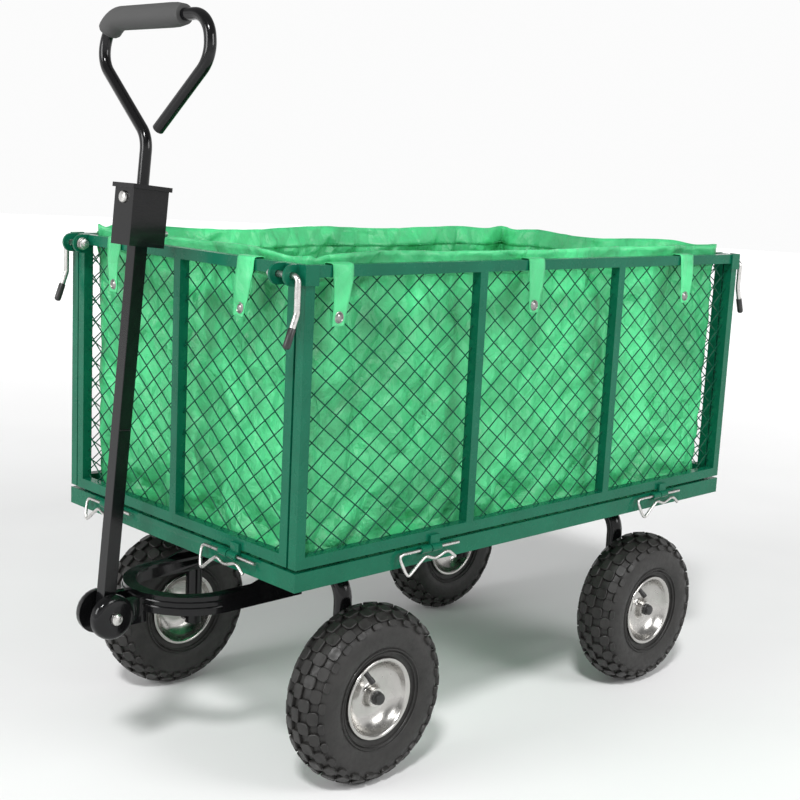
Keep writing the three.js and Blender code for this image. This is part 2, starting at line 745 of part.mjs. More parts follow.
// The plates that carry the tongue's arms up to the axle beam.
function tongueGusset(sign) {
  const reach = 60;
  const outline = new THREE.Shape([
    new THREE.Vector2(frontAxleX - reach / 2, tongueTop - 2),
    new THREE.Vector2(frontAxleX + 2 * reach, tongueTop - 2),
    new THREE.Vector2(frontAxleX + BEAM_RADIUS + 8, beamZ),
    new THREE.Vector2(frontAxleX - BEAM_RADIUS - 8, beamZ),
  ]);
  return new THREE.ExtrudeGeometry(outline, { depth: TONGUE_PLATE, bevelEnabled: false })
    .rotateX(Math.PI / 2)
    .translate(0, sign > 0 ? TONGUE_HALF_WIDTH : -TONGUE_HALF_WIDTH + TONGUE_PLATE, 0);
}

// A round pressed cheek, flat inside and with its outer edge rounded over.
function cheek(innerY) {
  const profile = [new THREE.Vector2(0, 0), new THREE.Vector2(CHEEK_RADIUS, 0)];
  const steps = 3;
  for (let i = 0; i <= steps; i += 1) {
    const angle = (Math.PI / 2) * (i / steps);
    profile.push(new THREE.Vector2(
      CHEEK_RADIUS - CHEEK_ROUNDING + CHEEK_ROUNDING * Math.cos(angle),
      CHEEK_THICKNESS - CHEEK_ROUNDING + CHEEK_ROUNDING * Math.sin(angle)));
  }
  profile.push(new THREE.Vector2(0, CHEEK_THICKNESS));
  return new THREE.LatheGeometry(profile, 24).translate(pivotX, innerY, pivotZ);
}

function makeTongue() {
  const forkHalf = HANDLE_TUBE / 2 + FORK_CLEARANCE;
  const shapes = [tongueBand(), tongueGusset(1), tongueGusset(-1)];
  for (const sign of [1, -1]) {
    const disc = cheek(forkHalf);
    shapes.push(sign > 0 ? disc : disc.scale(1, -1, 1));
    shapes.push(box([FORK_REACH + 4, CHEEK_THICKNESS - 4, 36],
      [pivotX - FORK_REACH / 2 - 4, sign * (forkHalf + (CHEEK_THICKNESS - 4) / 2), pivotZ + 3]));
  }
  const cuts = [
    rod('y', PIVOT_BOLT_RADIUS + PIVOT_CLEARANCE, -60, 60, [pivotX, pivotZ], 16),
    rod('y', BEAM_RADIUS + GAP + 0.2, -legY, legY, [frontAxleX, beamZ], 24),
  ];
  place('tongue', combine(shapes, cuts), blackPaint);

  const headAt = forkHalf + CHEEK_THICKNESS + GAP;
  place('pivot_bolt', combine([
    rod('y', PIVOT_BOLT_RADIUS, -headAt - 3, headAt + 3, [pivotX, pivotZ], 16),
    rod('y', BOLT_HEAD_RADIUS, headAt, headAt + BOLT_HEAD_HEIGHT, [pivotX, pivotZ], 6),
    rod('y', BOLT_HEAD_RADIUS, -headAt - BOLT_HEAD_HEIGHT, -headAt, [pivotX, pivotZ], 6),
  ]), zinc);
}

// ---------------------------------------------------------------- handle

// The handle's own frame has z along it, from the pivot, and x pointing forward.
const handle = new THREE.Group();
handle.position.set(pivotX, 0, pivotZ);
handle.rotation.y = -THREE.MathUtils.degToRad(HANDLE_LEAN);
cart.add(handle);

const sleeveTop = SLEEVE_START + SLEEVE_LENGTH;
const hitchPinZ = SLEEVE_START + HITCH_PIN_UP;
const sleeveBoltZ = sleeveTop - SLEEVE_BOLT_DOWN;

function makeHandleTube() {
  const tubeTop = SLEEVE_START + TUBE_IN_SLEEVE;
  place('handle_tube', combine(
    [box([HANDLE_TUBE, HANDLE_TUBE, tubeTop + HANDLE_TAIL], [0, 0, (tubeTop - HANDLE_TAIL) / 2])],
    [
      rod('y', PIVOT_BOLT_RADIUS + PIVOT_CLEARANCE, -20, 20, [0, 0], 16),
      rod('x', HITCH_PIN_RADIUS + 0.5, -20, 20, [0, hitchPinZ], 12),
    ],
  ), blackPaint, handle);
}

function makeTowSleeve() {
  const middle = (SLEEVE_START + sleeveTop) / 2;
  const lipZ = sleeveTop - SLEEVE_LIP_HEIGHT / 2;
  const cavityTop = sleeveTop - SLEEVE_LIP_HEIGHT;
  place('tow_sleeve', combine([
    box([SLEEVE_DEPTH, SLEEVE_WIDTH, SLEEVE_LENGTH], [0, 0, middle]),
    box([SLEEVE_DEPTH + 2 * SLEEVE_LIP, SLEEVE_WIDTH + 2 * SLEEVE_LIP, SLEEVE_LIP_HEIGHT], [0, 0, lipZ]),
  ], [
    box([SLEEVE_DEPTH - 2 * SLEEVE_WALL, SLEEVE_WIDTH - 2 * SLEEVE_WALL, SLEEVE_LENGTH],
      [0, 0, cavityTop - SLEEVE_LENGTH / 2]),
    rod('z', LOOP_TUBE_RADIUS + GAP + 0.4, cavityTop - 5, sleeveTop + 5, [0, 0], 16),
    rod('x', HITCH_PIN_RADIUS + 0.5, -SLEEVE_DEPTH, 0, [0, hitchPinZ], 12),
    rod('x', SLEEVE_BOLT_RADIUS + 0.4, 0, SLEEVE_DEPTH, [0, sleeveBoltZ], 12),
  ]), blackPaint, handle);
}

// The D-shaped loop: a stem, a slope to the left shoulder, across under the grip, and back to a free end.
function loopPoints() {
  const low = sleeveTop + LOOP_START;
  const corners = [
    new THREE.Vector3(0, 0, sleeveTop - STEM_IN_SLEEVE),
    new THREE.Vector3(0, 0, low),
    new THREE.Vector3(0, -LOOP_HALF_WIDTH, low + LOOP_SHOULDER),
    new THREE.Vector3(0, -LOOP_TOP_HALF, low + LOOP_HEIGHT),
    new THREE.Vector3(0, LOOP_TOP_HALF, low + LOOP_HEIGHT),
    new THREE.Vector3(0, LOOP_HALF_WIDTH, low + LOOP_SHOULDER),
    new THREE.Vector3(0, LOOP_END_OFFSET, low + LOOP_END_OFFSET * 0.45),
  ];
  return bentPoints(corners, 30, 4);
}

function makeLoop() {
  const points = loopPoints();
  place('grip_loop', combine(
    [sweep(circleShape(LOOP_TUBE_RADIUS, 10), points)],
    [rod('x', SLEEVE_BOLT_RADIUS + 0.4, -20, 20, [0, sleeveBoltZ], 12)],
  ), blackPaint, handle);

  // The foam covers the loop from its left upper corner to a free end on the straight top.
  const first = points.findIndex((point) => point.y < 0 && point.z > points[0].z + STEM_IN_SLEEVE
    + LOOP_START + LOOP_SHOULDER + 16);
  const last = points.findIndex((point) => point.y > 0 && point.z > points[0].z + LOOP_HEIGHT);
  const covered = points.slice(first, last);
  covered.push(new THREE.Vector3(0, GRIP_END, points[last].z));
  const sleeve = circleShape(GRIP_RADIUS, 14);
  sleeve.holes.push(circleShape(LOOP_TUBE_RADIUS + 0.9, 10));
  place('foam_grip', sweep(sleeve, covered), blackFoam, handle);
}

function makeSleeveFasteners() {
  const frontFace = SLEEVE_DEPTH / 2;
  place('sleeve_bolt', combine([
    rod('x', SLEEVE_BOLT_RADIUS, -12, frontFace + 3, [0, sleeveBoltZ], 12),
    rod('x', SLEEVE_BOLT_RADIUS * 2, frontFace + GAP, frontFace + 5, [0, sleeveBoltZ], 12),
  ]), zinc, handle);

  const backFace = -frontFace;
  const stubEnd = backFace - HITCH_PIN_STUB;
  const ring = new THREE.TorusGeometry(HITCH_RING_RADIUS, HITCH_RING_WIRE, 6, 16)
    .rotateY(Math.PI / 2)
    .translate(backFace - 5, 0, hitchPinZ + HITCH_RING_RADIUS);
  place('hitch_pin', combine([
    rod('x', HITCH_PIN_RADIUS, stubEnd, 12, [0, hitchPinZ], 12),
    ring,
  ]), zinc, handle);
}

// ---------------------------------------------------------------- assembly

makeDeck();
for (const side of sides) {
  makePanel(side);
  makeHingePins(side);
  makeStraps(side);
}
makeCorners();
makeBag();
makeWheels();
makeAxles();
makeTurntable();
makeTongue();
makeHandleTube();
makeTowSleeve();
makeLoop();
makeSleeveFasteners();

// Put the origin below the middle of the cart's box.
const bounds = new THREE.Box3().setFromObject(cart, true);
const middle = bounds.getCenter(new THREE.Vector3());
cart.position.set(-middle.x, -middle.y, -bounds.min.z);
cart.updateMatrixWorld(true);

export default cart;
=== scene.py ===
"""Garden cart: a steel mesh cart with a fabric bag, four pneumatic wheels and a fold-up pull handle.

Metres, in the packed model's frame: +X is forward, +Y is the cart's left, +Z is up, and the ground is z = 0.
"""

import json
import math

import bmesh
import bpy
from bpy.props import FloatProperty, FloatVectorProperty, IntProperty, PointerProperty
from mathutils import Matrix, Quaternion, Vector, noise

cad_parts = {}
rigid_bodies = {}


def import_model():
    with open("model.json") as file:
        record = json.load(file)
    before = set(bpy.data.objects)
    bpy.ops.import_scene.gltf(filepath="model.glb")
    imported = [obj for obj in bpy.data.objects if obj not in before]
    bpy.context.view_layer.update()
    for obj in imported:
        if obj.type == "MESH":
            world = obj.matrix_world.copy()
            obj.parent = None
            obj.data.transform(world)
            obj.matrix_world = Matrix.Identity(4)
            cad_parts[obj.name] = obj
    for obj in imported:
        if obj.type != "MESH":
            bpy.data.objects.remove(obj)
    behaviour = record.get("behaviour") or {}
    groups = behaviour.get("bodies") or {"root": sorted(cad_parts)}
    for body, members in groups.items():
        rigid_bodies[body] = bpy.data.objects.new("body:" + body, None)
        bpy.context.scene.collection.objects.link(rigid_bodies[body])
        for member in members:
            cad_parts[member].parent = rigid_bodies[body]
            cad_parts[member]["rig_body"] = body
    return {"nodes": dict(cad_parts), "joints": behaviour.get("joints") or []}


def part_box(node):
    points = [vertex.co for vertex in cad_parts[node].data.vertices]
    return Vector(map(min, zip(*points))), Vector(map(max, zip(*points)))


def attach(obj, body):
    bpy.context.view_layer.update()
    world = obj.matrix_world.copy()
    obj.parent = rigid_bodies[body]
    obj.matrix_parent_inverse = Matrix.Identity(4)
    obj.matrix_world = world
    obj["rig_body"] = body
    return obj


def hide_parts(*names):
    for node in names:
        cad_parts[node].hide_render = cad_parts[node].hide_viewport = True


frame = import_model()

bl_info = {
    "name": "Garden cart",
    "version": (1, 0, 0),
    "blender": (4, 5, 0),
    "location": "3D View > Sidebar > Garden cart",
    "description": "Builds the visible pieces of a mesh garden cart on its packed frame",
    "category": "Object",
}

MM = 0.001
X, Y, Z = Vector((1, 0, 0)), Vector((0, 1, 0)), Vector((0, 0, 1))

# ---------------------------------------------------------------- places taken from the frame

DECK_LOW, DECK_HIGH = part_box("deck_frame")
FLOOR_LOW, FLOOR_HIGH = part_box("deck_mesh")
DECK_CENTRE = Vector(((DECK_LOW.x + DECK_HIGH.x) / 2, 0, 0))
RAIL_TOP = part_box("panel_left_frame")[1].z
PANEL_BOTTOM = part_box("strap_left_1")[1].z
TUBE = 15 * MM
MESH_LAP = 7 * MM

SIDES = ("front", "left", "rear", "right")
CORNERS = [(end, hand) for end in ("front", "rear") for hand in ("left", "right")]


class Side:
    """One of the cart's four sides, in its own frame: x points out of the side, y runs along it."""

    def __init__(self, name):
        self.name = name
        self.turn = SIDES.index(name)
        low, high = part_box(f"panel_{name}_mesh")
        self.back = self.outward(high if name in ("front", "left") else low) + 0.3 * MM
        self.face = self.back + TUBE
        along = high - low
        self.half = (along.y if name in ("front", "rear") else along.x) / 2
        self.low, self.high = low.z, high.z
        self.long = name in ("left", "right")

    def outward(self, point):
        step = point - DECK_CENTRE
        return abs(step.y if self.name in ("left", "right") else step.x)

    def matrix(self):
        return Matrix.Translation(DECK_CENTRE) @ Matrix.Rotation(self.turn * math.pi / 2, 4, "Z")

    def local(self, point):
        return self.matrix().inverted() @ point


# ---------------------------------------------------------------- settings


def a_length(name, description, default):
    return FloatProperty(name=name, description=description, default=default, unit="LENGTH")


def an_angle(name, description, degrees):
    return FloatProperty(name=name, description=description, default=math.radians(degrees), subtype="ANGLE")


def a_colour(name, description, default):
    return FloatVectorProperty(name=name, description=description, default=default, subtype="COLOR")


class WheelSettings(bpy.types.PropertyGroup):
    """Sizes of the tyres' tread and of the rims' fittings"""

    lugs: IntProperty(name="Lugs", description="Tread lugs in each row round the tyre", default=24, min=8, max=48)
    lug_height: a_length("Lug height", "How far a lug stands out of the carcass", 4.4 * MM)
    stem_length: a_length("Stem length", "Length of the rubber valve stem", 24 * MM)
    rubber: a_colour("Rubber", "Colour of the tyres", (0.014, 0.0133, 0.0125))
    steel: a_colour("Rim steel", "Colour of the rims", (0.50, 0.49, 0.47))


class MeshSettings(bpy.types.PropertyGroup):
    """Sizes of the welded wire mesh"""

    wire: a_length("Wire", "Diameter of the mesh wire", 1.9 * MM)
    wide: a_length("Diamond width", "Width of one diamond", 39 * MM)
    tall: a_length("Diamond height", "Height of one diamond", 31 * MM)
    floor_spacing: a_length("Floor spacing", "Distance between the floor's wires", 25 * MM)


class BagSettings(bpy.types.PropertyGroup):
    """Shape of the fabric bag and its straps"""

    pitch: a_length("Pitch", "Size of a facet of the cloth", 6.5 * MM)
    thickness: a_length("Thickness", "Thickness of the cloth", 0.8 * MM)
    hem: a_length("Hem", "Width of the folded hem", 30 * MM)
    corner: a_length("Corner", "Radius of the bag's corners", 27 * MM)
    sag: a_length("Sag", "How far the hem falls inward between straps", 24 * MM)
    strap_drop: a_length("Strap drop", "From the rail's top down to a strap's snap", 66 * MM)
    cloth: a_colour("Cloth", "Colour of the bag", (0.056, 0.46, 0.178))


class SteelSettings(bpy.types.PropertyGroup):
    """Edges and colours of the painted steel"""

    edge: a_length("Edge", "Rounding of the steel's edges", 1.1 * MM)
    green: a_colour("Green paint", "Colour of the deck and panels", (0.0035, 0.108, 0.058))
    black: a_colour("Black paint", "Colour of the handle and axles", (0.0045, 0.0045, 0.005))
    zinc: a_colour("Zinc", "Colour of the plated wire and bolts", (0.62, 0.61, 0.59))


class StageSettings(bpy.types.PropertyGroup):
    """The floor, the lights and the camera"""

    distance: a_length("Distance", "From the deck's centre line to the camera, over the ground", 2.1641)
    height: a_length("Height", "Camera height", 0.8647)
    bearing: an_angle("Bearing", "Where the camera stands, round from the cart's front", 44.71)
    azimuth: an_angle("Azimuth", "The way the camera looks", 135.52)
    elevation: an_angle("Elevation", "How far the camera looks down", 10.23)
    roll: an_angle("Roll", "How far the camera is turned about its own line of sight", 2.87)
    lens: FloatProperty(name="Lens", description="Focal length, in millimetres", default=60.8)
    floor: a_colour("Floor", "Colour of the floor", (0.85, 0.85, 0.85))


# ---------------------------------------------------------------- materials


class Finish:
    """Builds one procedural material on Object coordinates."""

    def __init__(self, name, colour, roughness, metallic=0.0):
        self.material = bpy.data.materials.new(name)
        self.material.use_nodes = True
        self.nodes = self.material.node_tree.nodes
        self.links = self.material.node_tree.links
        self.shader = self.nodes["Principled BSDF"]
        self.colour = colour
        self.set("Base Color", (*colour, 1))
        self.set("Roughness", roughness)
        self.set("Metallic", metallic)
        self.place = self.nodes.new("ShaderNodeTexCoord").outputs["Object"]
        self.height = None

    def set(self, socket, value):
        self.shader.inputs[socket].default_value = value

    def stretched(self, scale, turn=(0, 0, 0)):
        mapping = self.nodes.new("ShaderNodeMapping")
        mapping.inputs["Scale"].default_value = scale
        mapping.inputs["Rotation"].default_value = turn
        self.links.new(self.place, mapping.inputs["Vector"])
        return mapping.outputs["Vector"]

    def noise(self, scale, detail, rough, distortion=0.0):
        node = self.nodes.new("ShaderNodeTexNoise")
        for socket, value in zip(("Scale", "Detail", "Roughness", "Distortion"),
                                 (scale, detail, rough, distortion)):
            node.inputs[socket].default_value = value
        self.links.new(self.place, node.inputs["Vector"])
        return node.outputs["Fac"]

    def cells(self, scale, feature="F1", place=None):
        node = self.nodes.new("ShaderNodeTexVoronoi")
        node.feature = feature
        node.inputs["Scale"].default_value = scale
        self.links.new(place or self.place, node.inputs["Vector"])
        return node.outputs["Distance"]

    def ridges(self, scale, place):
        node = self.nodes.new("ShaderNodeTexWave")
        node.inputs["Scale"].default_value = scale
        self.links.new(place, node.inputs["Vector"])
        return node.outputs["Fac"]

    def spread(self, source, low, high, to_low, to_high):
        node = self.nodes.new("ShaderNodeMapRange")
        for socket, value in zip(("From Min", "From Max", "To Min", "To Max"), (low, high, to_low, to_high)):
            node.inputs[socket].default_value = value
        self.links.new(source, node.inputs["Value"])
        return node.outputs["Result"]

    def tint(self, source, low, high, dark, light):
        ramp = self.nodes.new("ShaderNodeValToRGB")
        for element, position, shade in zip(ramp.color_ramp.elements, (low, high), (dark, light)):
            element.position = position
            element.color = (*[min(1, c * shade) for c in self.colour], 1)
        self.links.new(source, ramp.inputs["Fac"])
        return ramp.outputs["Color"]

    def blend(self, factor, first, second):
        mix = self.nodes.new("ShaderNodeMix")
        mix.data_type = "RGBA"
        self.links.new(factor, mix.inputs["Factor"])
        self.links.new(first, mix.inputs["A"])
        self.links.new(second, mix.inputs["B"])
        return mix.outputs["Result"]

    def paint(self, colour):
        self.links.new(colour, self.shader.inputs["Base Color"])

    def vary_roughness(self, source, low, high):
        self.links.new(self.spread(source, 0.3, 0.7, low, high), self.shader.inputs["Roughness"])

    def grain(self, *layers):
        """Embosses one noise over another: each is (scale, detail, roughness), a strength and a depth."""
        for texture, strength, distance in layers:
            self.emboss(self.noise(*texture), strength, distance)

    def emboss(self, source, strength, distance):
        bump = self.nodes.new("ShaderNodeBump")
        bump.inputs["Strength"].default_value = strength
        bump.inputs["Distance"].default_value = distance
        self.links.new(source, bump.inputs["Height"])
        if self.height:
            self.links.new(self.height, bump.inputs["Normal"])
        self.height = bump.outputs["Normal"]
        self.links.new(self.height, self.shader.inputs["Normal"])


def powder_coat(name, colour, roughness, gloss):
    """Baked powder paint: fine orange peel, faint cloudiness and a few rubbed spots."""
    finish = Finish(name, colour, roughness)
    cloud = finish.noise(14, 5, 0.6)
    finish.paint(finish.tint(cloud, 0.3, 0.75, 0.86, 1.16))
    finish.vary_roughness(finish.noise(55, 4, 0.65), roughness * 0.75, roughness * 1.35)
    finish.grain(((650, 2, 0.5), 0.16, 0.0004), ((38, 3, 0.5), 0.10, 0.0015))
    finish.set("Specular IOR Level", 0.4 * gloss)
    finish.set("Coat Weight", 0.25 * gloss)
    finish.set("Coat Roughness", 0.08)
    return finish.material


def zinc_plate(name, colour):
    """Bright zinc plate with cloudy grain."""
    finish = Finish(name, colour, 0.3, 1.0)
    finish.paint(finish.tint(finish.noise(120, 5, 0.7), 0.3, 0.7, 0.78, 1.1))
    finish.vary_roughness(finish.noise(260, 4, 0.6), 0.2, 0.42)
    finish.grain(((900, 2, 0.5), 0.12, 0.0002))
    return finish.material


def spun_steel(name, colour):
    """Pressed wheel steel under clear lacquer, a little uneven."""
    finish = Finish(name, colour, 0.26, 1.0)
    finish.paint(finish.tint(finish.noise(34, 5, 0.7, 0.4), 0.3, 0.72, 0.88, 1.08))
    finish.vary_roughness(finish.noise(80, 5, 0.65), 0.18, 0.30)
    finish.grain(((30, 2, 0.4), 0.05, 0.001), ((700, 2, 0.5), 0.08, 0.0002))
    return finish.material


def tyre_rubber(name, colour):
    """Dull moulded rubber with a dusty bloom."""
    finish = Finish(name, colour, 0.5)
    bloom = finish.noise(26, 6, 0.7)
    finish.paint(finish.tint(bloom, 0.32, 0.75, 0.7, 1.9))
    finish.vary_roughness(finish.noise(150, 4, 0.6), 0.36, 0.62)
    finish.grain(((520, 3, 0.6), 0.30, 0.0005), ((70, 3, 0.5), 0.15, 0.0012))
    finish.set("Specular IOR Level", 0.42)
    return finish.material


def woven_cloth(name, colour, crush):
    """Coated woven polyester: a fine plain weave, crushed facets and soft creases, with painted shade and painted
    highlights in its colour.
    """
    finish = Finish(name, colour, 0.4)
    # Painted shade and light: broad darker and lighter patches of the cloth colour, and a lighter copy of the
    # colour on some cells as painted highlights on the crushed facets.
    shade = finish.noise(7, 4, 0.55, 0.6)
    lit_facets = finish.cells(15)
    finish.paint(finish.blend(
        finish.spread(lit_facets, 0.1, 0.8, 0.0, 1.0),
        finish.tint(shade, 0.32, 0.68, 0.66, 1.22),
        finish.tint(shade, 0.32, 0.68, 0.90, 1.62)))
    finish.vary_roughness(finish.noise(60, 4, 0.6), 0.30, 0.46)
    warp = finish.ridges(420, finish.stretched((1, 1, 0.02), (0, 0, math.radians(45))))
    weft = finish.ridges(420, finish.stretched((0.02, 0.02, 1), (0, math.radians(90), 0)))
    for threads in (warp, weft):
        finish.emboss(threads, 0.10, 0.0002)
    wander = finish.nodes.new("ShaderNodeVectorMath")
    wander.operation = "MULTIPLY_ADD"
    wander.inputs[1].default_value = (0.05, 0.05, 0.05)
    finish.links.new(finish.noise(6, 3, 0.5), wander.inputs[0])
    finish.links.new(finish.stretched((1, 1, 0.6)), wander.inputs[2])
    for scale, depth in ((9, 0.010), (21, 0.0045)):
        creases = finish.cells(scale, "DISTANCE_TO_EDGE", wander.outputs["Vector"])
        finish.emboss(finish.spread(creases, 0.0, 0.16, 0.0, 1.0), crush, depth)
    for scale, depth in ((19, 0.010), (47, 0.0035)):
        finish.emboss(finish.cells(scale), crush, depth)
    finish.grain(((24, 5, 0.62, 0.9), crush, 0.010))
    finish.set("Specular IOR Level", 0.5)
    finish.set("Subsurface Weight", 0.12)
    finish.set("Subsurface Radius", (0.3, 1.0, 0.5))
    finish.set("Subsurface Scale", 0.006)
    return finish.material


def soft_foam(name, colour):
    """Closed-cell foam with open pores on its skin."""
    finish = Finish(name, colour, 0.9)
    finish.paint(finish.tint(finish.noise(90, 5, 0.7), 0.3, 0.7, 0.75, 1.5))
    finish.emboss(finish.cells(900), 0.45, 0.0006)
    finish.grain(((60, 4, 0.6), 0.25, 0.0015))
    return finish.material


def moulded_plastic(name, colour):
    """Dipped black vinyl with a soft gloss."""
    finish = Finish(name, colour, 0.38)
    finish.paint(finish.tint(finish.noise(70, 4, 0.6), 0.3, 0.7, 0.8, 1.5))
    finish.grain(((420, 3, 0.5), 0.15, 0.0003))
    return finish.material


def stage_paper(name, colour):
    """Matt studio paper."""
    finish = Finish(name, colour, 0.8)
    finish.paint(finish.tint(finish.noise(3, 3, 0.5), 0.3, 0.7, 0.985, 1.01))
    finish.grain(((300, 2, 0.5), 0.03, 0.0003))
    distance = finish.nodes.new("ShaderNodeVectorMath")
    distance.operation = "LENGTH"
    finish.links.new(finish.place, distance.inputs[0])
    glow = finish.spread(distance.outputs["Value"], 1.3, 5.0, 0.0, 0.5)
    finish.set("Emission Color", (1, 1, 1, 1))
    finish.links.new(glow, finish.shader.inputs["Emission Strength"])
    return finish.material


def look(name):
    """The named finish, made from the settings when it is first asked for."""
    if name in bpy.data.materials:
        return bpy.data.materials[name]
    scene = bpy.context.scene
    steel, bag, wheel = scene.cart_steel, scene.cart_bag, scene.cart_wheels
    makers = {
        "green_paint": lambda: powder_coat(name, steel.green, 0.24, 0.35),
        "wire_paint": lambda: powder_coat(name, [c * 0.6 for c in steel.green], 0.3, 0.35),
        "black_paint": lambda: powder_coat(name, steel.black, 0.13, 0.6),
        "zinc": lambda: zinc_plate(name, steel.zinc),
        "snap_metal": lambda: zinc_plate(name, [c * 0.5 for c in steel.zinc]),
        "rim_steel": lambda: spun_steel(name, wheel.steel),
        "rubber": lambda: tyre_rubber(name, wheel.rubber),
        "bag_cloth": lambda: woven_cloth(name, bag.cloth, 0.55),
        "strap_cloth": lambda: woven_cloth(name, bag.cloth, 0.3),
        "thread": lambda: moulded_plastic(name, [c * 0.9 + 0.03 for c in bag.cloth]),
        "foam": lambda: soft_foam(name, (0.013, 0.013, 0.0125)),
        "vinyl": lambda: moulded_plastic(name, (0.014, 0.014, 0.014)),
        "paper": lambda: stage_paper(name, scene.cart_stage.floor),
    }
    return makers[name]()


# ---------------------------------------------------------------- mesh helpers


# Slots of the frame, each with the finish that its pieces wear.
GREEN = ("frame_green", "green_paint")
MESH_GREEN = ("mesh_green", "wire_paint")
BLACK = ("black_gloss", "black_paint")
BOLT_ZINC = ("zinc_bolt", "zinc")
WIRE_ZINC = ("zinc_wire", "zinc")
VINYL = ("foam", "vinyl")
BAG_CLOTH = ("bag_fabric", "bag_cloth")
STRAP_CLOTH = ("bag_fabric", "strap_cloth")
THREAD = ("bag_fabric", "thread")

EVEN_BEVEL = {"profile": 0.5, "affect": "EDGES", "material": -1, "clamp_overlap": True}
DOUBLES = 0.01 * MM
CREASE = 32.0


def in_mm(points):
    """Points given in millimetres, turned to metres."""
    return [tuple(value * MM for value in point) for point in points]


def put(name, data):
    """Links a new object to the scene."""
    thing = bpy.data.objects.new(name, data)
    bpy.context.scene.collection.objects.link(thing)
    return thing


def add_piece(bm, name, body, slot, finish, replaced=(), sharp=35.0, recalc=True):
    """Makes an object of a bmesh, gives it its finish and fastens it to a body of the frame."""
    if recalc:
        bmesh.ops.recalc_face_normals(bm, faces=bm.faces)
    mesh = bpy.data.meshes.new(name)
    bm.to_mesh(mesh)
    bm.free()
    mesh.shade_smooth()
    mesh.set_sharp_from_angle(angle=math.radians(sharp))
    mesh.materials.append(look(finish))
    piece = put(name, mesh)
    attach(piece, body)
    if replaced:
        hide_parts(*replaced)
    return piece


def thicken(piece, name, thickness, offset):
    wall = piece.modifiers.new(name, "SOLIDIFY")
    wall.thickness = thickness
    wall.offset = offset


def edges_at(verts):
    return list({edge for vert in verts for edge in vert.link_edges})


def extruded(bm, edges):
    """Extrudes a row of edges, and returns the points and the edges of the new row."""
    made = bmesh.ops.extrude_edge_only(bm, edges=edges)["geom"]
    verts = [item for item in made if isinstance(item, bmesh.types.BMVert)]
    row = set(verts)
    return verts, [item for item in made if isinstance(item, bmesh.types.BMEdge)
                   and item.verts[0] in row and item.verts[1] in row]


def block(bm, size, place, rounding, segments=2):
    """A box with rounded edges, its middle put where the matrix says."""
    made = bmesh.ops.create_cube(bm, size=1, matrix=place @ Matrix.Diagonal((*size, 1)))
    bmesh.ops.bevel(bm, geom=edges_at(made["verts"]), offset=rounding, segments=segments, **EVEN_BEVEL)


def at(*point):
    return Matrix.Translation(Vector(point))


def lathe(bm, profile, place, steps=48):
    """Spins (radius, height) points about the local Z axis. The profile closes on itself or ends on the axis."""
    verts = [bm.verts.new((radius, 0, height)) for radius, height in profile]
    edges = [bm.edges.new(pair) for pair in zip(verts, verts[1:])]
    if profile[0][0] > 1e-6 or profile[-1][0] > 1e-6:
        edges.append(bm.edges.new((verts[-1], verts[0])))
    before = set(bm.verts) - set(verts)
    bmesh.ops.spin(bm, geom=verts + edges, cent=(0, 0, 0), axis=Z, angle=2 * math.pi, steps=steps,
                   use_merge=True)
    made = [vert for vert in bm.verts if vert not in before]
    bmesh.ops.remove_doubles(bm, verts=made, dist=1e-6)
    made = [vert for vert in bm.verts if vert not in before]
    bmesh.ops.transform(bm, matrix=place, verts=made)


def facing(direction, origin):
    """A place whose local Z points along a direction."""
    return Matrix.Translation(origin) @ direction.to_track_quat("Z", "Y").to_matrix().to_4x4()


def flowing(points, steps=6):
    """A smooth run of points through the given ones."""
    points = [Vector(p) for p in points]
    ends = [2 * points[0] - points[1], *points, 2 * points[-1] - points[-2]]
    run = []
    for a, b, c, d in zip(ends, ends[1:], ends[2:], ends[3:]):
        for k in range(steps):
            t = k / steps
            run.append(0.5 * (2 * b + (c - a) * t + (2 * a - 5 * b + 4 * c - d) * t * t
                              + (3 * b - a - 3 * c + d) * t ** 3))
    run.append(points[-1])
    return run


def rounded(corners, radius, steps=8):
    """Straight runs between corners, with each corner turned into an arc."""
    corners = [Vector(c) for c in corners]
    run = [corners[0]]
    for before, corner, after in zip(corners, corners[1:], corners[2:]):
        back, on = (before - corner).normalized(), (after - corner).normalized()
        half = back.angle(on) / 2
        centre = corner + (back + on).normalized() * (radius / math.sin(half))
        start = corner + back * (radius / math.tan(half)) - centre
        end = corner + on * (radius / math.tan(half)) - centre
        run += [centre + start.slerp(end, k / steps) * radius for k in range(steps + 1)]
    return run + [corners[-1]]


def carry_along(points):
    """A frame at each point of a run, turned as little as possible from one to the next."""
    ahead = [(b - a).normalized() for a, b in zip(points, points[1:])]
    tangents = [ahead[0], *[(a + b).normalized() for a, b in zip(ahead, ahead[1:])], ahead[-1]]
    turn = tangents[0].to_track_quat("Z", "Y")
    frames = [Matrix.Translation(points[0]) @ turn.to_matrix().to_4x4()]
    for before, tangent, point in zip(tangents, tangents[1:], points[1:]):
        turn = before.rotation_difference(tangent) @ turn
        frames.append(Matrix.Translation(point) @ turn.to_matrix().to_4x4())
    return frames


def tube(bm, points, radius, sides):
    """Extrudes a disc along a run of points. The radius is one for all of them, or one for each."""
    frames = carry_along(points)
    radii = radius if isinstance(radius, list) else [radius] * len(frames)
    verts = bmesh.ops.create_circle(bm, cap_ends=True, radius=radii[0], segments=sides)["verts"]
    bmesh.ops.transform(bm, matrix=frames[0], verts=verts)
    edges = edges_at(verts)
    for here, there, before, after in zip(frames, frames[1:], radii, radii[1:]):
        verts, edges = extruded(bm, edges)
        grow = Matrix.Diagonal((after / before, after / before, 1, 1))
        bmesh.ops.transform(bm, matrix=there @ grow @ here.inverted(), verts=verts)
    bmesh.ops.contextual_create(bm, geom=edges)


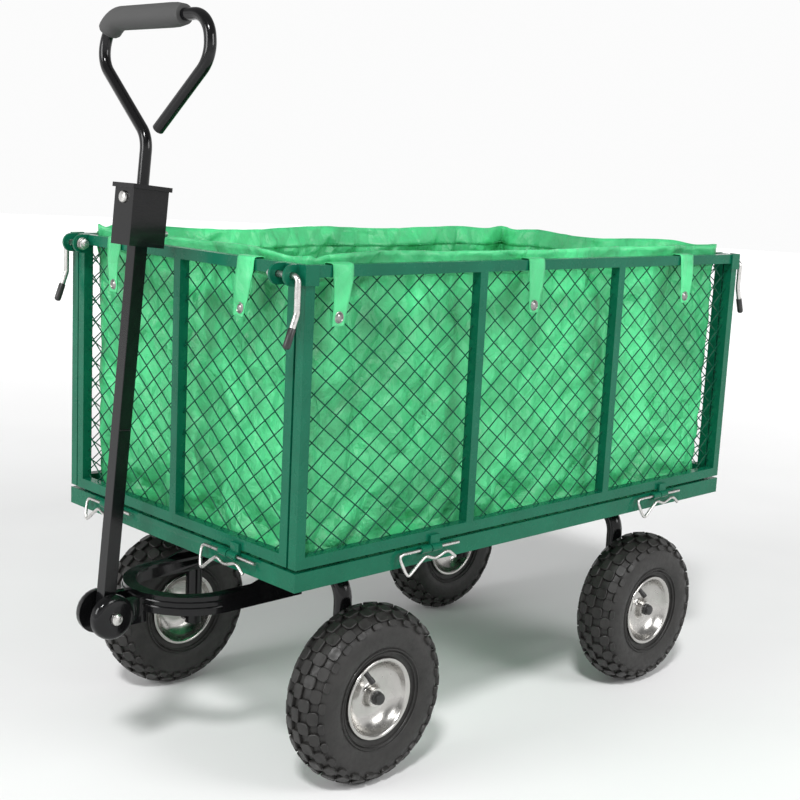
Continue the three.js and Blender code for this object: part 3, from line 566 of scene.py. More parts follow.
def softened_copy(node, name, slot, finish, edge=None):
    """A copy of a CAD node with its doubles merged and its edges rounded."""
    edge = edge or bpy.context.scene.cart_steel.edge
    body = frame["nodes"][node]["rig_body"]
    bm = bmesh.new()
    bm.from_mesh(frame["nodes"][node].data)
    bmesh.ops.remove_doubles(bm, verts=bm.verts, dist=DOUBLES)
    bmesh.ops.dissolve_limit(bm, angle_limit=math.radians(0.5), verts=bm.verts, edges=bm.edges)
    piece = add_piece(bm, name, body, slot, finish, [node], recalc=False, sharp=40)
    bevel = piece.modifiers.new("Edges", "BEVEL")
    bevel.width = edge
    bevel.segments = 2
    bevel.limit_method = "ANGLE"
    bevel.angle_limit = math.radians(CREASE)
    bevel.harden_normals = True
    return piece


def hexagon_nut(bm, place, across, height):
    """A hexagon nut with chamfered corners, standing on local Z = 0."""
    made = bmesh.ops.create_cone(bm, cap_ends=True, segments=6, radius1=across / 2, radius2=across / 2,
                                 depth=height, matrix=place @ at(0, 0, height / 2))
    bmesh.ops.bevel(bm, geom=edges_at(made["verts"]), offset=0.6 * MM, segments=2, **EVEN_BEVEL)


def weld_bead(bm, start, end, radius):
    """A rippled bead of weld metal between two points."""
    beads = max(2, round((end - start).length / (radius * 1.1)))
    for k in range(beads + 1):
        middle = start.lerp(end, k / beads)
        bmesh.ops.create_icosphere(bm, subdivisions=2, radius=radius,
                                   matrix=Matrix.Translation(middle) @ Matrix.Diagonal((1, 1, 0.9, 1)))


# ---------------------------------------------------------------- operators


class CART_OT_steelwork(bpy.types.Operator):
    """Make the deck, the panel frames and the corner brackets with rounded, painted edges"""

    bl_idname = "garden_cart.steelwork"
    bl_label = "Deck and panel frames"

    def execute(self, context):
        softened_copy("deck_frame", "deck_steel", *GREEN)
        for name in SIDES:
            softened_copy(f"panel_{name}_frame", f"panel_{name}_tubes", *GREEN)
        for end, hand in CORNERS:
            softened_copy(f"latch_bracket_{end}_{hand}", f"corner_bracket_{end}_{hand}", *GREEN, 0.6 * MM)
        self.welds()
        return {"FINISHED"}

    def welds(self):
        for name in SIDES:
            side = Side(name)
            bm = bmesh.new()
            place = side.matrix()
            uprights = 3 if side.long else 2
            inner = side.half - MESH_LAP
            for k in range(1, uprights):
                middle = (k / uprights - 0.5) * 2 * (inner + TUBE / 2)
                for z in (side.low + MESH_LAP, side.high - MESH_LAP):
                    for edge in (-TUBE / 2, TUBE / 2):
                        weld_bead(bm, place @ Vector((side.back + 2 * MM, middle + edge, z)),
                                  place @ Vector((side.face - 2 * MM, middle + edge, z)), 1.5 * MM)
            add_piece(bm, f"panel_{name}_welds", "cart", *GREEN, recalc=False)


class CART_OT_wire_mesh(bpy.types.Operator):
    """Make the diamond wire mesh of the four panels and the square mesh of the floor"""

    bl_idname = "garden_cart.wire_mesh"
    bl_label = "Wire mesh"

    def execute(self, context):
        settings = context.scene.cart_mesh
        for name in SIDES:
            side = Side(name)
            bm = bmesh.new()
            for slope in (1, -1):
                self.diagonals(bm, side, slope, settings)
            add_piece(bm, f"panel_{name}_wires", "cart", *MESH_GREEN, [f"panel_{name}_mesh"])
        self.floor(settings)
        return {"FINISHED"}

    def diagonals(self, bm, side, slope, settings):
        half, low, high = side.half, side.low, side.high
        depth = side.back + 4 * MM + slope * settings.wire * 0.42
        step = settings.wide
        rise = (high - low) * settings.wide / settings.tall
        start = -half - rise if slope > 0 else -half
        offset = start + step / 2
        while offset < start + 2 * half + rise:
            points = self.clipped(offset, offset + slope * rise, half, low, high)
            if points:
                self.wire(bm, side, depth, points, slope, settings)
            offset += step

    def clipped(self, foot, head, half, low, high):
        """The part of a diagonal that lies between the side's two ends, or nothing."""
        span = head - foot
        first = max(0.0, min((-half - foot) / span, (half - foot) / span))
        last = min(1.0, max((-half - foot) / span, (half - foot) / span))
        if (last - first) * abs(span) < 14 * MM:
            return None
        return [(foot + span * t, low + (high - low) * t) for t in (first, last)]

    def wire(self, bm, side, depth, points, slope, settings):
        """One wire, with a slight dip at each wire that it crosses."""
        (y0, z0), (y1, z1) = points
        count = max(2, round(abs(y1 - y0) * 2 / settings.wide))
        place = side.matrix()
        run = []
        for k in range(count + 1):
            t = k / count
            wave = noise.noise(Vector((y0 + (y1 - y0) * t, z0 * 3 + slope, side.turn)) * 9) * 1.6 * MM
            run.append(place @ Vector((
                depth + (k % 2) * 0.5 * MM * slope, y0 + (y1 - y0) * t + wave, z0 + (z1 - z0) * t - slope * wave)))
        tube(bm, run, settings.wire / 2, 6)

    def floor(self, settings):
        bm = bmesh.new()
        low, high = FLOOR_LOW, FLOOR_HIGH
        middle = (low.z + high.z) / 2
        for axis, across in ((0, 1), (1, 0)):
            count = round((high[across] - low[across]) / settings.floor_spacing)
            for k in range(1, count):
                start, end = Vector(low), Vector(high)
                start.z = end.z = middle - axis * 0.8 * MM
                start[across] = end[across] = low[across] + (high[across] - low[across]) * k / count
                tube(bm, [start, end], 0.9 * MM, 6)
        add_piece(bm, "deck_wires", "cart", *MESH_GREEN, ["deck_mesh"])


class CART_OT_hinge_pins(bpy.types.Operator):
    """Make the eight bent spring-wire hinge pins"""

    bl_idname = "garden_cart.hinge_pins"
    bl_label = "Hinge pins"

    wire = 2.25 * MM

    def execute(self, context):
        for name in SIDES:
            side = Side(name)
            for k in (1, 2):
                node = f"hinge_pin_{name}_{k}"
                corners = [side.local(corner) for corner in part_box(node)]
                bend = min(c.y for c in corners) + self.wire
                inner = min(c.x for c in corners) + self.wire
                top = max(c.z for c in corners) - self.wire
                bm = bmesh.new()
                tube(bm, self.route(side, inner, bend, top), self.wire, 12)
                add_piece(bm, f"spring_pin_{name}_{k}", "cart", *WIRE_ZINC, [node])
        return {"FINISHED"}

    def route(self, side, inner, bend, top):
        """A straight leg in the barrels, a deep V at the bend and a waved leg in front."""
        shape = [(0, 115, 0), (0, 60, 0), (0, 12, 0), (0, 4, 0.8), (0.6, 0.4, 5), (4, 2.6, 15), (7, 6.5, 25),
                 (8, 10, 28.6), (8, 14.5, 27), (8, 26, 18), (8, 38, 9.2), (8, 44, 7), (8, 51, 9.4),
                 (8, 60, 11.8), (8, 69, 10.2), (8, 79, 6.8), (8, 85, 6.2), (8, 91, 8.6), (8, 101, 16.5)]
        place = side.matrix()
        return [place @ p for p in flowing(
            [(inner + out * MM, bend + along * MM, top - down * MM) for out, along, down in shape], 4)]


class CART_OT_latches(bpy.types.Operator):
    """Make the corner latches: rod and lever, nut and washer, and a vinyl grip"""

    bl_idname = "garden_cart.latches"
    bl_label = "Corner latches"

    ear = 13.5 * MM
    lever = 44 * MM
    tilt = math.radians(20)

    def execute(self, context):
        for end, hand in CORNERS:
            forward = 1 if end == "front" else -1
            left = 1 if hand == "left" else -1
            low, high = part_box(f"latch_bracket_{end}_{hand}")
            x = high.x - self.ear if forward > 0 else low.x + self.ear
            z = low.z + self.ear
            node = f"latch_lever_{end}_{hand}"
            body = frame["nodes"][node]["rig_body"]
            inner = min(abs(corner.y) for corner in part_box(node))
            outer = max(abs(corner.y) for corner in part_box(node)) - 5 * MM
            knee = z - 45 * MM
            along = Vector((forward * math.sin(self.tilt), 0, -math.cos(self.tilt)))
            tip = Vector((x, left * outer, knee)) + along * self.lever
            bm = bmesh.new()
            tube(bm, rounded([(x, left * inner, z), (x, left * outer, z), (x, left * outer, knee), tip], 8 * MM),
                 3.9 * MM, 16)
            add_piece(bm, f"latch_rod_{end}_{hand}", body, *WIRE_ZINC, [node])
            bm = bmesh.new()
            inward = Vector((0, -left, 0))
            ear_face = Vector((x, left * (inner + 13 * MM), z))
            lathe(bm, in_mm([(4, 0), (9, 0), (9, 1.4), (4, 1.4)]), facing(inward, ear_face), 32)
            hexagon_nut(bm, facing(inward, ear_face + inward * 1.5 * MM), 15.5 * MM, 6.5 * MM)
            add_piece(bm, f"latch_nut_{end}_{hand}", body, *WIRE_ZINC, recalc=False)
            bm = bmesh.new()
            lathe(bm, in_mm([(0, -25), (4.3, -25), (4.9, -23.6), (4.9, -3), (4.6, -0.8), (3.6, 0.6), (2, 1.4),
                             (0, 1.7)]), facing(along, tip), 24)
            add_piece(bm, f"latch_grip_{end}_{hand}", body, *VINYL)
        return {"FINISHED"}


class BagShape:
    """Where the bag's cloth hangs: a rounded box, drawn in between its straps and crushed into folds."""

    def __init__(self, settings):
        self.low, self.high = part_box("liner_bag")
        self.half = (self.high - self.low) / 2
        self.middle = (self.low + self.high) / 2
        self.corner = settings.corner
        self.sag = settings.sag
        self.straps = {}
        for name in SIDES:
            side = Side(name)
            count = 3 if side.long else 2
            places = [side.local(sum(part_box(f"strap_{name}_{k}"), Vector()) / 2).y for k in range(1, count + 1)]
            end = self.half.x if side.long else self.half.y
            self.straps[name] = sorted([-end, *places, end])

    def side_of(self, outward):
        if abs(outward.x) > abs(outward.y):
            return "front" if outward.x > 0 else "rear"
        return "left" if outward.y > 0 else "right"

    def between_straps(self, name, along):
        """How far between two straps, from 0 at either to 1 midway, with that stretch's length and number."""
        stops = self.straps[name]
        for k, (start, end) in enumerate(zip(stops, stops[1:])):
            if start <= along <= end:
                return math.sin(math.pi * (along - start) / (end - start)), end - start, k
        return 0.0, 0.1, 0

    def hang(self, point):
        """Moves a point of the plain box to where the cloth hangs."""
        step = point - self.middle
        inside = Vector((
            max(-self.half.x + self.corner, min(self.half.x - self.corner, step.x)),
            max(-self.half.y + self.corner, min(self.half.y - self.corner, step.y)),
            max(-self.half.z + self.corner * 0.6, step.z)))
        outward = step - inside
        if outward.length < 1e-6:
            return point
        reach = self.corner if abs(outward.x) + abs(outward.y) > 1e-6 else self.corner * 0.6
        outward.normalize()
        bottom = max(0.0, -outward.z)
        spot = self.middle + inside + outward * (reach * (1 - bottom) + self.corner * 0.6 * bottom)
        if bottom > 0.98:
            lift = 1.6 * MM * (1 + noise.noise(spot * 14)) + 1.2 * MM * abs(noise.noise(spot * 47))
            return spot + Z * lift
        name = self.side_of(outward)
        along = {"front": step.y, "left": -step.x, "rear": -step.y, "right": step.x}[name]
        height = (step.z + self.half.z) / (2 * self.half.z)
        between, length, number = self.between_straps(name, along)
        inset = self.folds(spot, along, height, between, length, name, number)
        flat = Vector((outward.x, outward.y, 0))
        wave = noise.noise(Vector((along * 5.5, SIDES.index(name) * 3.1, 0.4)))
        top = max(0.0, (height - 0.72) / 0.28)
        rise = (1.5 + 5.5 * wave - 4.0 * between ** 2) * MM * top ** 1.5
        return spot - flat * inset * (1 - bottom) + Z * (rise + 2 * MM * bottom)

    def folds(self, spot, along, height, between, length, name, number):
        seed = SIDES.index(name) * 7.7
        lean = 1 if math.sin(number * 2.3 + seed) > 0 else -1
        drawn = max(0.0, height - 0.35) / 0.65
        hem = self.sag * (0.35 + 0.65 * abs(math.sin(number * 1.9 + seed))) * between ** 2 * drawn ** 2.2
        hem *= min(1.0, length / 0.25)
        belly = 9 * MM * (0.5 + 0.5 * noise.noise(Vector((along * 3.1, height * 1.7, seed))))
        tall = 9.5 * MM * (0.5 + 0.5 * noise.noise(Vector((along * 13, height * 2.1 + seed, seed))))
        slant = noise.noise(Vector(((along + lean * height * 0.33) * 15, height * 3.3, seed + 4)))
        broad = noise.noise(Vector(((along - lean * height * 0.25) * 7, height * 1.6, seed + 9)))
        ridge = 11.0 * MM * (1 - abs(slant)) ** 4
        crush = 6.5 * MM * abs(noise.noise(spot * 21 + Vector((seed, 0, 0))))
        fine = 1.7 * MM * abs(noise.noise(spot * 48))
        cells = noise.voronoi(spot * 11 + Vector((seed, 0, 0)))[0]
        facet = 11.0 * MM * min(0.5, cells[1] - cells[0])
        calm = 1 - 0.55 * max(0.0, (height - 0.93) / 0.07) + 0.5 * max(0.0, 0.22 - height) / 0.22
        pull = 1 - 0.8 * (1 - between) ** 6 * drawn
        fold = 8.0 * MM * (1 - abs(broad)) ** 5
        end = self.half.x if name in ("left", "right") else self.half.y
        corner = 0.35 + 0.65 * min(1.0, (end - abs(along)) / (110 * MM))
        return 0.8 * MM + hem + (belly + (tall + ridge + fold) * pull + crush + fine + facet) * calm * corner


class CART_OT_bag(bpy.types.Operator):
    """Make the fabric bag as one shell with a floor, folds, a doubled hem and its stitching"""

    bl_idname = "garden_cart.bag"
    bl_label = "Fabric bag"

    def execute(self, context):
        settings = context.scene.cart_bag
        shape = BagShape(settings)
        pitch = settings.pitch * 1
        bm, rings = self.shell(shape, pitch)
        for vert in bm.verts:
            vert.co = shape.hang(vert.co)
        bmesh.ops.recalc_face_normals(bm, faces=bm.faces)
        rows = max(2, round(settings.hem / pitch))
        hem = self.hem(bm, rings[-1 - rows:])
        stitches = self.stitches(rings[-1 - rows])
        bag = add_piece(bm, "bag", "cart", *BAG_CLOTH, ["liner_bag"], sharp=180, recalc=False)
        thicken(bag, "Cloth", settings.thickness, -1)
        return {"FINISHED"}

    def shell(self, shape, pitch):
        """A grid for the floor, whose edge is extruded upwards row by row."""
        size = shape.high - shape.low
        bm = bmesh.new()
        bmesh.ops.create_grid(bm, x_segments=round(size.x / pitch), y_segments=round(size.y / pitch), size=0.5,
                              matrix=at(shape.middle.x, shape.middle.y, shape.low.z)
                              @ Matrix.Diagonal((size.x, size.y, 1, 1)))
        edges = [edge for edge in bm.edges if edge.is_boundary]
        rows = round(size.z / pitch)
        rings = []
        for _ in range(rows):
            verts, edges = extruded(bm, edges)
            bmesh.ops.translate(bm, verts=verts, vec=(0, 0, size.z / rows))
            rings.append(edges)
        return bm, rings

    def hem(self, source, rings):
        """A second layer over the top rows of the wall, proud of it on both faces."""
        source.verts.index_update()
        keep = {vert.index for ring in rings for edge in ring for vert in edge.verts}
        bm = source.copy()
        bmesh.ops.delete(bm, geom=[vert for vert in bm.verts if vert.index not in keep], context="VERTS")
        bm.normal_update()
        hem = add_piece(bm, "bag_hem", "cart", *STRAP_CLOTH, sharp=180, recalc=False)
        thicken(hem, "Fold", 2.6 * MM, -0.3)
        return hem

    def stitches(self, ring):
        """A row of short thread stitches on both faces of the hem."""
        bm = bmesh.new()
        for edge in ring:
            start, end = edge.verts[0].co, edge.verts[1].co
            ahead = (end - start).normalized()
            out = (edge.verts[0].normal + edge.verts[1].normal).normalized()
            turn = Matrix((ahead, out.cross(ahead), out)).transposed().to_4x4()
            middle = (start + end) / 2 + Z * 3 * MM
            for lift in (1.25 * MM, -2.0 * MM):
                block(bm, (4.2 * MM, 0.8 * MM, 0.7 * MM), Matrix.Translation(middle + out * lift) @ turn,
                      0.25 * MM, 1)
        return add_piece(bm, "bag_stitches", "cart", *THREAD, recalc=False)


class CART_OT_straps(bpy.types.Operator):
    """Make the straps over the rails, each with its stitching and its snap"""

    bl_idname = "garden_cart.straps"
    bl_label = "Straps"

    hanging = 0.42
    taper = 0.42

    def execute(self, context):
        drop = context.scene.cart_bag.strap_drop
        for name in SIDES:
            side = Side(name)
            for k in range(1, 4 if side.long else 3):
                self.strap(side, k, drop)
        return {"FINISHED"}

    def strap(self, side, number, drop):
        node = f"strap_{side.name}_{number}"
        low, high = (side.local(corner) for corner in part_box(node))
        middle, width = (low.y + high.y) / 2, abs(high.y - low.y)
        seed = side.turn * 5 + number
        curl = math.sin(seed * 2.7)
        slip = (curl * 9 - 3) * MM
        top = RAIL_TOP + 1.0 * MM
        route = flowing([
            (side.back - 1.4 * MM, 0, top - 15 * MM), (side.back - 1.2 * MM, 0, top - 3 * MM),
            (side.back + 1.2 * MM, 0, top + 0.8 * MM), (side.back + TUBE / 2, 0, top + 1.0 * MM),
            (side.face - 0.6 * MM, 0, top + 0.4 * MM), (side.face + 1.5 * MM, 0, top - 3.5 * MM),
            (side.face + 2.6 * MM, 0, top - 22 * MM), (side.face + (2.2 + curl) * MM, 0, top - drop * 0.62),
            (side.face + 1.6 * MM, 0, top - drop), (side.face + 2.4 * MM, 0, top - drop - 11 * MM)], 5)
        bm = bmesh.new()
        made = bmesh.ops.create_grid(bm, x_segments=8, y_segments=1, size=0.5)
        bmesh.ops.delete(bm, geom=[v for v in made["verts"] if v.co.y > 0], context="VERTS")
        verts = sorted(bm.verts, key=lambda v: v.co.x)
        edges = list(bm.edges)
        offsets = [v.co.x for v in verts]
        length = sum((b - a).length for a, b in zip(route, route[1:]))
        run = 0.0
        for step, point in enumerate(route):
            if step:
                run += (point - route[step - 1]).length
                fresh, edges = extruded(bm, edges)
                verts = sorted(fresh, key=lambda v: (v.co - verts[0].co).length)
            share = run / length
            low_part = max(0.0, share - self.hanging) / (1 - self.hanging)
            spread = width * (1.0 - self.taper * low_part)
            for vert, offset in zip(verts, offsets):
                cup = 1.6 * MM * (4 * offset * offset) * max(0.0, share - 0.5) * 2
                ripple = 0.7 * MM * noise.noise(Vector((offset * 5, run * 60, seed)))
                lean = slip * low_part ** 1.3
                twist = 5 * MM * curl * (offset + 0.5 * (1 if curl > 0 else -1)) * math.sin(math.pi * low_part)
                vert.co = Vector((point.x + cup + abs(ripple) + max(0.0, twist),
                                  middle + offset * spread + lean, point.z))
        bmesh.ops.transform(bm, matrix=side.matrix(), verts=bm.verts)
        bmesh.ops.recalc_face_normals(bm, faces=bm.faces)
        stitches = self.stitching(side, route, middle, width, number)
        snap = self.snap(side, middle + slip * 0.8, top - drop, number)
        piece = add_piece(bm, f"strap_cloth_{side.name}_{number}", "cart", *STRAP_CLOTH, [node],
                          sharp=180, recalc=False)
        thicken(piece, "Cloth", 1.1 * MM, 0)

    def stitching(self, side, route, middle, width, number):
        """Two rows of stitches where the strap is folded back under its snap."""
        bm = bmesh.new()
        outer = [p for p in route if p.x > side.face + 1.0 * MM]
        for row in (-1, 1):
            for point in outer[2:-1]:
                spot = Vector((point.x + 0.8 * MM, middle + row * (width / 2 - 6.5 * MM), point.z))
                block(bm, (0.5 * MM, 0.7 * MM, 2.4 * MM), side.matrix() @ Matrix.Translation(spot), 0.2 * MM, 1)
        return add_piece(bm, f"strap_thread_{side.name}_{number}", "cart", *THREAD, recalc=False)

    def snap(self, side, middle, z, number):
        """A domed press snap with a rolled rim."""
        bm = bmesh.new()
        profile = [(0, -2.6), (7.4, -2.6), (8.0, -1.8), (8.0, -0.2), (7.4, 0.9), (6.3, 1.2), (5.6, 0.3),
                   (4.9, 0.9), (3.4, 1.9), (1.7, 2.3), (0, 2.4)]
        origin = side.matrix() @ Vector((side.face + 3.0 * MM, middle, z))
        out = (side.matrix().to_3x3() @ X).normalized()
        lathe(bm, in_mm(profile), facing(out, origin), 28)
        return add_piece(bm, f"strap_snap_{side.name}_{number}", "cart", "zinc_bolt", "snap_metal")


def middle_of(node):
    return sum(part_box(node), Vector()) / 2


def wheel_place(node):
    """A wheel's own frame: z along its axle, out of the cart."""
    centre = middle_of(node)
    return facing(Vector((0, math.copysign(1, centre.y), 0)), centre)


class CART_OT_tyres(bpy.types.Operator):
    """Make the four knobbly tyres"""

    bl_idname = "garden_cart.tyres"
    bl_label = "Tyres"

    def execute(self, context):
        settings = context.scene.cart_wheels
        for end, hand in CORNERS:
            node = f"tyre_{end}_{hand}"
            low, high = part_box(node)
            outer, half = (high.z - low.z) / 2, (high.y - low.y) / 2
            place = wheel_place(node)
            rim_low, rim_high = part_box(f"rim_{end}_{hand}")
            seat = (rim_high.z - rim_low.z) / 2 - 3 * MM
            bm = bmesh.new()
            self.carcass(bm, place, outer - settings.lug_height, seat, half)
            self.tread(bm, place, outer, half, settings)
            add_piece(bm, f"tyre_rubber_{end}_{hand}", f"wheel_{end}_{hand}", "tyre", "rubber", [node])
        return {"FINISHED"}

    def section(self, outer, seat, half, angle):
        """A point of the carcass: a squared oval between the rim's seat and the crown."""
        middle, tall = (outer + seat) / 2, (outer - seat) / 2
        power = 2 / 2.35
        c, s = math.cos(angle), math.sin(angle)
        return (middle + tall * math.copysign(abs(s) ** power, s), half * math.copysign(abs(c) ** power, c))

    def carcass(self, bm, place, outer, seat, half):
        start, end = math.radians(-40), math.radians(220)
        outline = [self.section(outer, seat, half - 1.5 * MM, start + (end - start) * k / 34) for k in range(35)]
        bead = [(seat - 1.2 * MM, 20 * MM), (seat - 0.8 * MM, 26.4 * MM), (seat + 2.2 * MM, 27.5 * MM),
                (seat + 5.5 * MM, 28.2 * MM)]
        outline = bead + outline + [(radius, -height) for radius, height in reversed(bead)]
        inside = [self.section(outer - 7 * MM, seat + 4 * MM, half - 9 * MM, end + (start - end) * k / 14)
                  for k in range(15)]
        lathe(bm, outline + inside, place, 96)
        for side in (1, -1):
            for radius, height in ((seat + 11 * MM, 1.0), (seat + 15.5 * MM, 0.8)):
                y = side * (half - 5.6 * MM if radius < seat + 12 * MM else half - 3.4 * MM)
                ring = [(radius + 1.1 * MM * math.cos(a), y + height * MM * math.sin(a))
                        for a in (k * math.pi / 3 for k in range(6))]
                lathe(bm, ring, place, 72)

    def tread(self, bm, place, outer, half, settings):
        """Rows of lugs: twin blocks on the crown, ovals beside them and small ones on the shoulders."""
        rows = [(90, 0.0, (13.5, 20), 2.6), (72, 0.5, (17, 18), 5.0), (108, 0.5, (17, 18), 5.0),
                (50, 0.0, (15, 19), 5.5), (130, 0.0, (15, 19), 5.5), (31, 0.5, (9, 15), 3.5),
                (149, 0.5, (9, 15), 3.5)]
        seat = outer * 0.45
        for angle, shift, (wide, long), rounding in rows:
            bed = self.section(outer - settings.lug_height, seat, half - 1.5 * MM, math.radians(angle))
            near = self.section(outer - settings.lug_height, seat, half - 1.5 * MM, math.radians(angle + 2))
            ahead = Vector((near[0] - bed[0], 0, near[1] - bed[1])).normalized()
            out = Vector((ahead.z, 0, -ahead.x))
            if out.x * bed[0] + out.z * bed[1] < 0:
                out = -out
            height = settings.lug_height * (1.0 if 60 < angle < 120 else 0.85)
            sink = 3.0 * MM
            for k in range(settings.lugs):
                turn = Matrix.Rotation(2 * math.pi * (k + shift) / settings.lugs, 4, "Z")
                basis = Matrix((ahead, out.cross(ahead), out)).transposed().to_4x4()
                middle = Vector((bed[0], 0, bed[1])) + out * (height - sink) / 2
                self.lug(bm, place @ turn @ Matrix.Translation(middle) @ basis,
                         (wide * MM, long * MM, height + sink), rounding * MM)

    def lug(self, bm, place, size, rounding):
        """A block with well-rounded corners and a softer top edge."""
        made = bmesh.ops.create_cube(bm, size=1, matrix=Matrix.Diagonal((*size, 1)))
        verts = made["verts"]
        edges = {edge for vert in verts for edge in vert.link_edges}
        upright = [edge for edge in edges if abs(edge.verts[0].co.z - edge.verts[1].co.z) > size[2] / 2]
        result = bmesh.ops.bevel(bm, geom=upright, offset=rounding, segments=3, **EVEN_BEVEL)
        solid = set(result["verts"]) | {vert for vert in verts if vert.is_valid}
        faces = {face for vert in solid for face in vert.link_faces}
        rim = [edge for face in faces if face.normal.z > 0.9 and len(face.verts) > 4 for edge in face.edges]
        result = bmesh.ops.bevel(bm, geom=rim, offset=0.9 * MM, segments=1, **EVEN_BEVEL)
        solid = {vert for vert in solid if vert.is_valid} | set(result["verts"])
        bmesh.ops.transform(bm, matrix=place, verts=list(solid))


class CART_OT_rims(bpy.types.Operator):
    """Make the pressed steel rims with their hubs and valve stems"""

    bl_idname = "garden_cart.rims"
    bl_label = "Rims"

    def execute(self, context):
        settings = context.scene.cart_wheels
        for end, hand in CORNERS:
            node = f"rim_{end}_{hand}"
            place = wheel_place(node)
            body = f"wheel_{end}_{hand}"
            bm = bmesh.new()
            self.dish(bm, place)
            add_piece(bm, f"rim_steel_{end}_{hand}", body, "rim_silver", "rim_steel", [node])
            bm = bmesh.new()
            self.stem(bm, place, settings.stem_length)
            add_piece(bm, f"valve_stem_{end}_{hand}", body, *VINYL)
        return {"FINISHED"}

    def dish(self, bm, place):
        """The pressed dish: hub tube, web, wall and rolled flange, the same on both faces."""
        outer = flowing([(14.0, 0, 12.0), (17.5, 0, 9.0), (25.0, 0, 8.4), (34.0, 0, 10.2), (42.0, 0, 14.4),
                         (47.6, 0, 20.0), (50.6, 0, 25.4), (52.6, 0, 29.4), (55.0, 0, 31.4), (57.6, 0, 31.6),
                         (58.9, 0, 30.0), (58.6, 0, 28.0), (56.6, 0, 26.6), (54.4, 0, 24.0), (53.8, 0, 16.0),
                         (50.0, 0, 10.0)], 4)
        hub = [(8.35, 23.0), (12.6, 23.0), (13.2, 22.4), (13.2, 14.0)]
        half = hub + [(p.x, p.z) for p in outer]
        lathe(bm, in_mm(half + [(r, -h) for r, h in reversed(half)]), place, 72)

    def stem(self, bm, place, length):
        lean = Vector((-0.80, 0, 0.60)).normalized()
        foot = Vector((47 * MM, 0, 15 * MM))
        turn = Matrix.Rotation(math.radians(115), 4, "Z")
        profile = [(0, -2), (6.2, -2), (6.2, 1.2), (4.6, 3.0), (3.9, 6.0), (3.7, 15.0), (4.3, 15.6), (4.3, 22.4),
                   (3.6, 23.8), (0, 24.0)]
        scale = length / (24 * MM)
        lathe(bm, [(r * MM, h * MM * scale) for r, h in profile], place @ turn @ facing(lean, foot), 24)


class CART_OT_axles(bpy.types.Operator):
    """Make the bent axles with their stubs, washers and caps"""

    bl_idname = "garden_cart.axles"
    bl_label = "Axles"

    def execute(self, context):
        for end, body in (("front", "steer"), ("rear", "cart")):
            node = f"{end}_axle"
            wheel = middle_of(f"rim_{end}_left")
            tyre_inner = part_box(f"tyre_{end}_left")[0].y
            radius = 13 * MM
            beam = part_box("turntable_lower")[0].z - 0.3 * MM - radius
            leg = tyre_inner - 2.5 * MM - radius
            bm = bmesh.new()
            foot = wheel.z - radius - 1 * MM
            run = rounded([(wheel.x, leg, foot), (wheel.x, leg, beam), (wheel.x, -leg, beam),
                           (wheel.x, -leg, foot)], 44 * MM, 12)
            tube(bm, run, radius, 28)
            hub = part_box(f"rim_{end}_left")[1].y - 9 * MM
            for side in (1, -1):
                out = Vector((0, side, 0))
                origin = Vector((wheel.x, 0, wheel.z))
                lathe(bm, [(0, leg), (16 * MM, leg - 4 * MM), (16 * MM, leg + 15 * MM), (12 * MM, leg + 18 * MM),
                           (12 * MM, 2 * wheel.y - hub - 0.3 * MM), (8 * MM, 2 * wheel.y - hub - 0.3 * MM),
                           (8 * MM, hub + 6 * MM), (0, hub + 6 * MM)], facing(out, origin), 32)
                weld_bead(bm, Vector((wheel.x - 10 * MM, side * (leg + 12 * MM), wheel.z + 11 * MM)),
                          Vector((wheel.x + 10 * MM, side * (leg + 12 * MM), wheel.z + 11 * MM)), 2 * MM)
            if end == "rear":
                self.saddles(bm, wheel.x, leg, beam)
            add_piece(bm, f"{end}_axle_tube", body, *BLACK, [node], recalc=False)
            self.hardware(end, body, wheel, hub)
        return {"FINISHED"}

    def saddles(self, bm, x, leg, beam):
        low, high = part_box("rear_axle")
        for side in (1, -1):
            size = (high.x - low.x, 40 * MM, high.z - beam)
            block(bm, size, at(x, side * (leg - 60 * MM), (high.z + beam) / 2), 2 * MM)

    def hardware(self, end, body, wheel, hub):
        for side, hand in ((1, "left"), (-1, "right")):
            out = Vector((0, side, 0))
            bm = bmesh.new()
            lathe(bm, in_mm([(8, 0), (12.6, 0), (12.9, 0.4), (12.9, 1.5), (8, 1.5)]),
                  facing(out, Vector((wheel.x, side * (hub + 0.3 * MM), wheel.z))), 40)
            add_piece(bm, f"hub_washer_{end}_{hand}", body, *BOLT_ZINC)
            bm = bmesh.new()
            lathe(bm, in_mm([(0, 0), (9.6, 0), (9.6, 2.2), (8.7, 3), (8.5, 6.6), (7.6, 8.2), (4.5, 9), (0, 9.2)]),
                  facing(out, Vector((wheel.x, side * (hub + 1.9 * MM), wheel.z))), 32)
            add_piece(bm, f"hub_cap_{end}_{hand}", body, *VINYL)


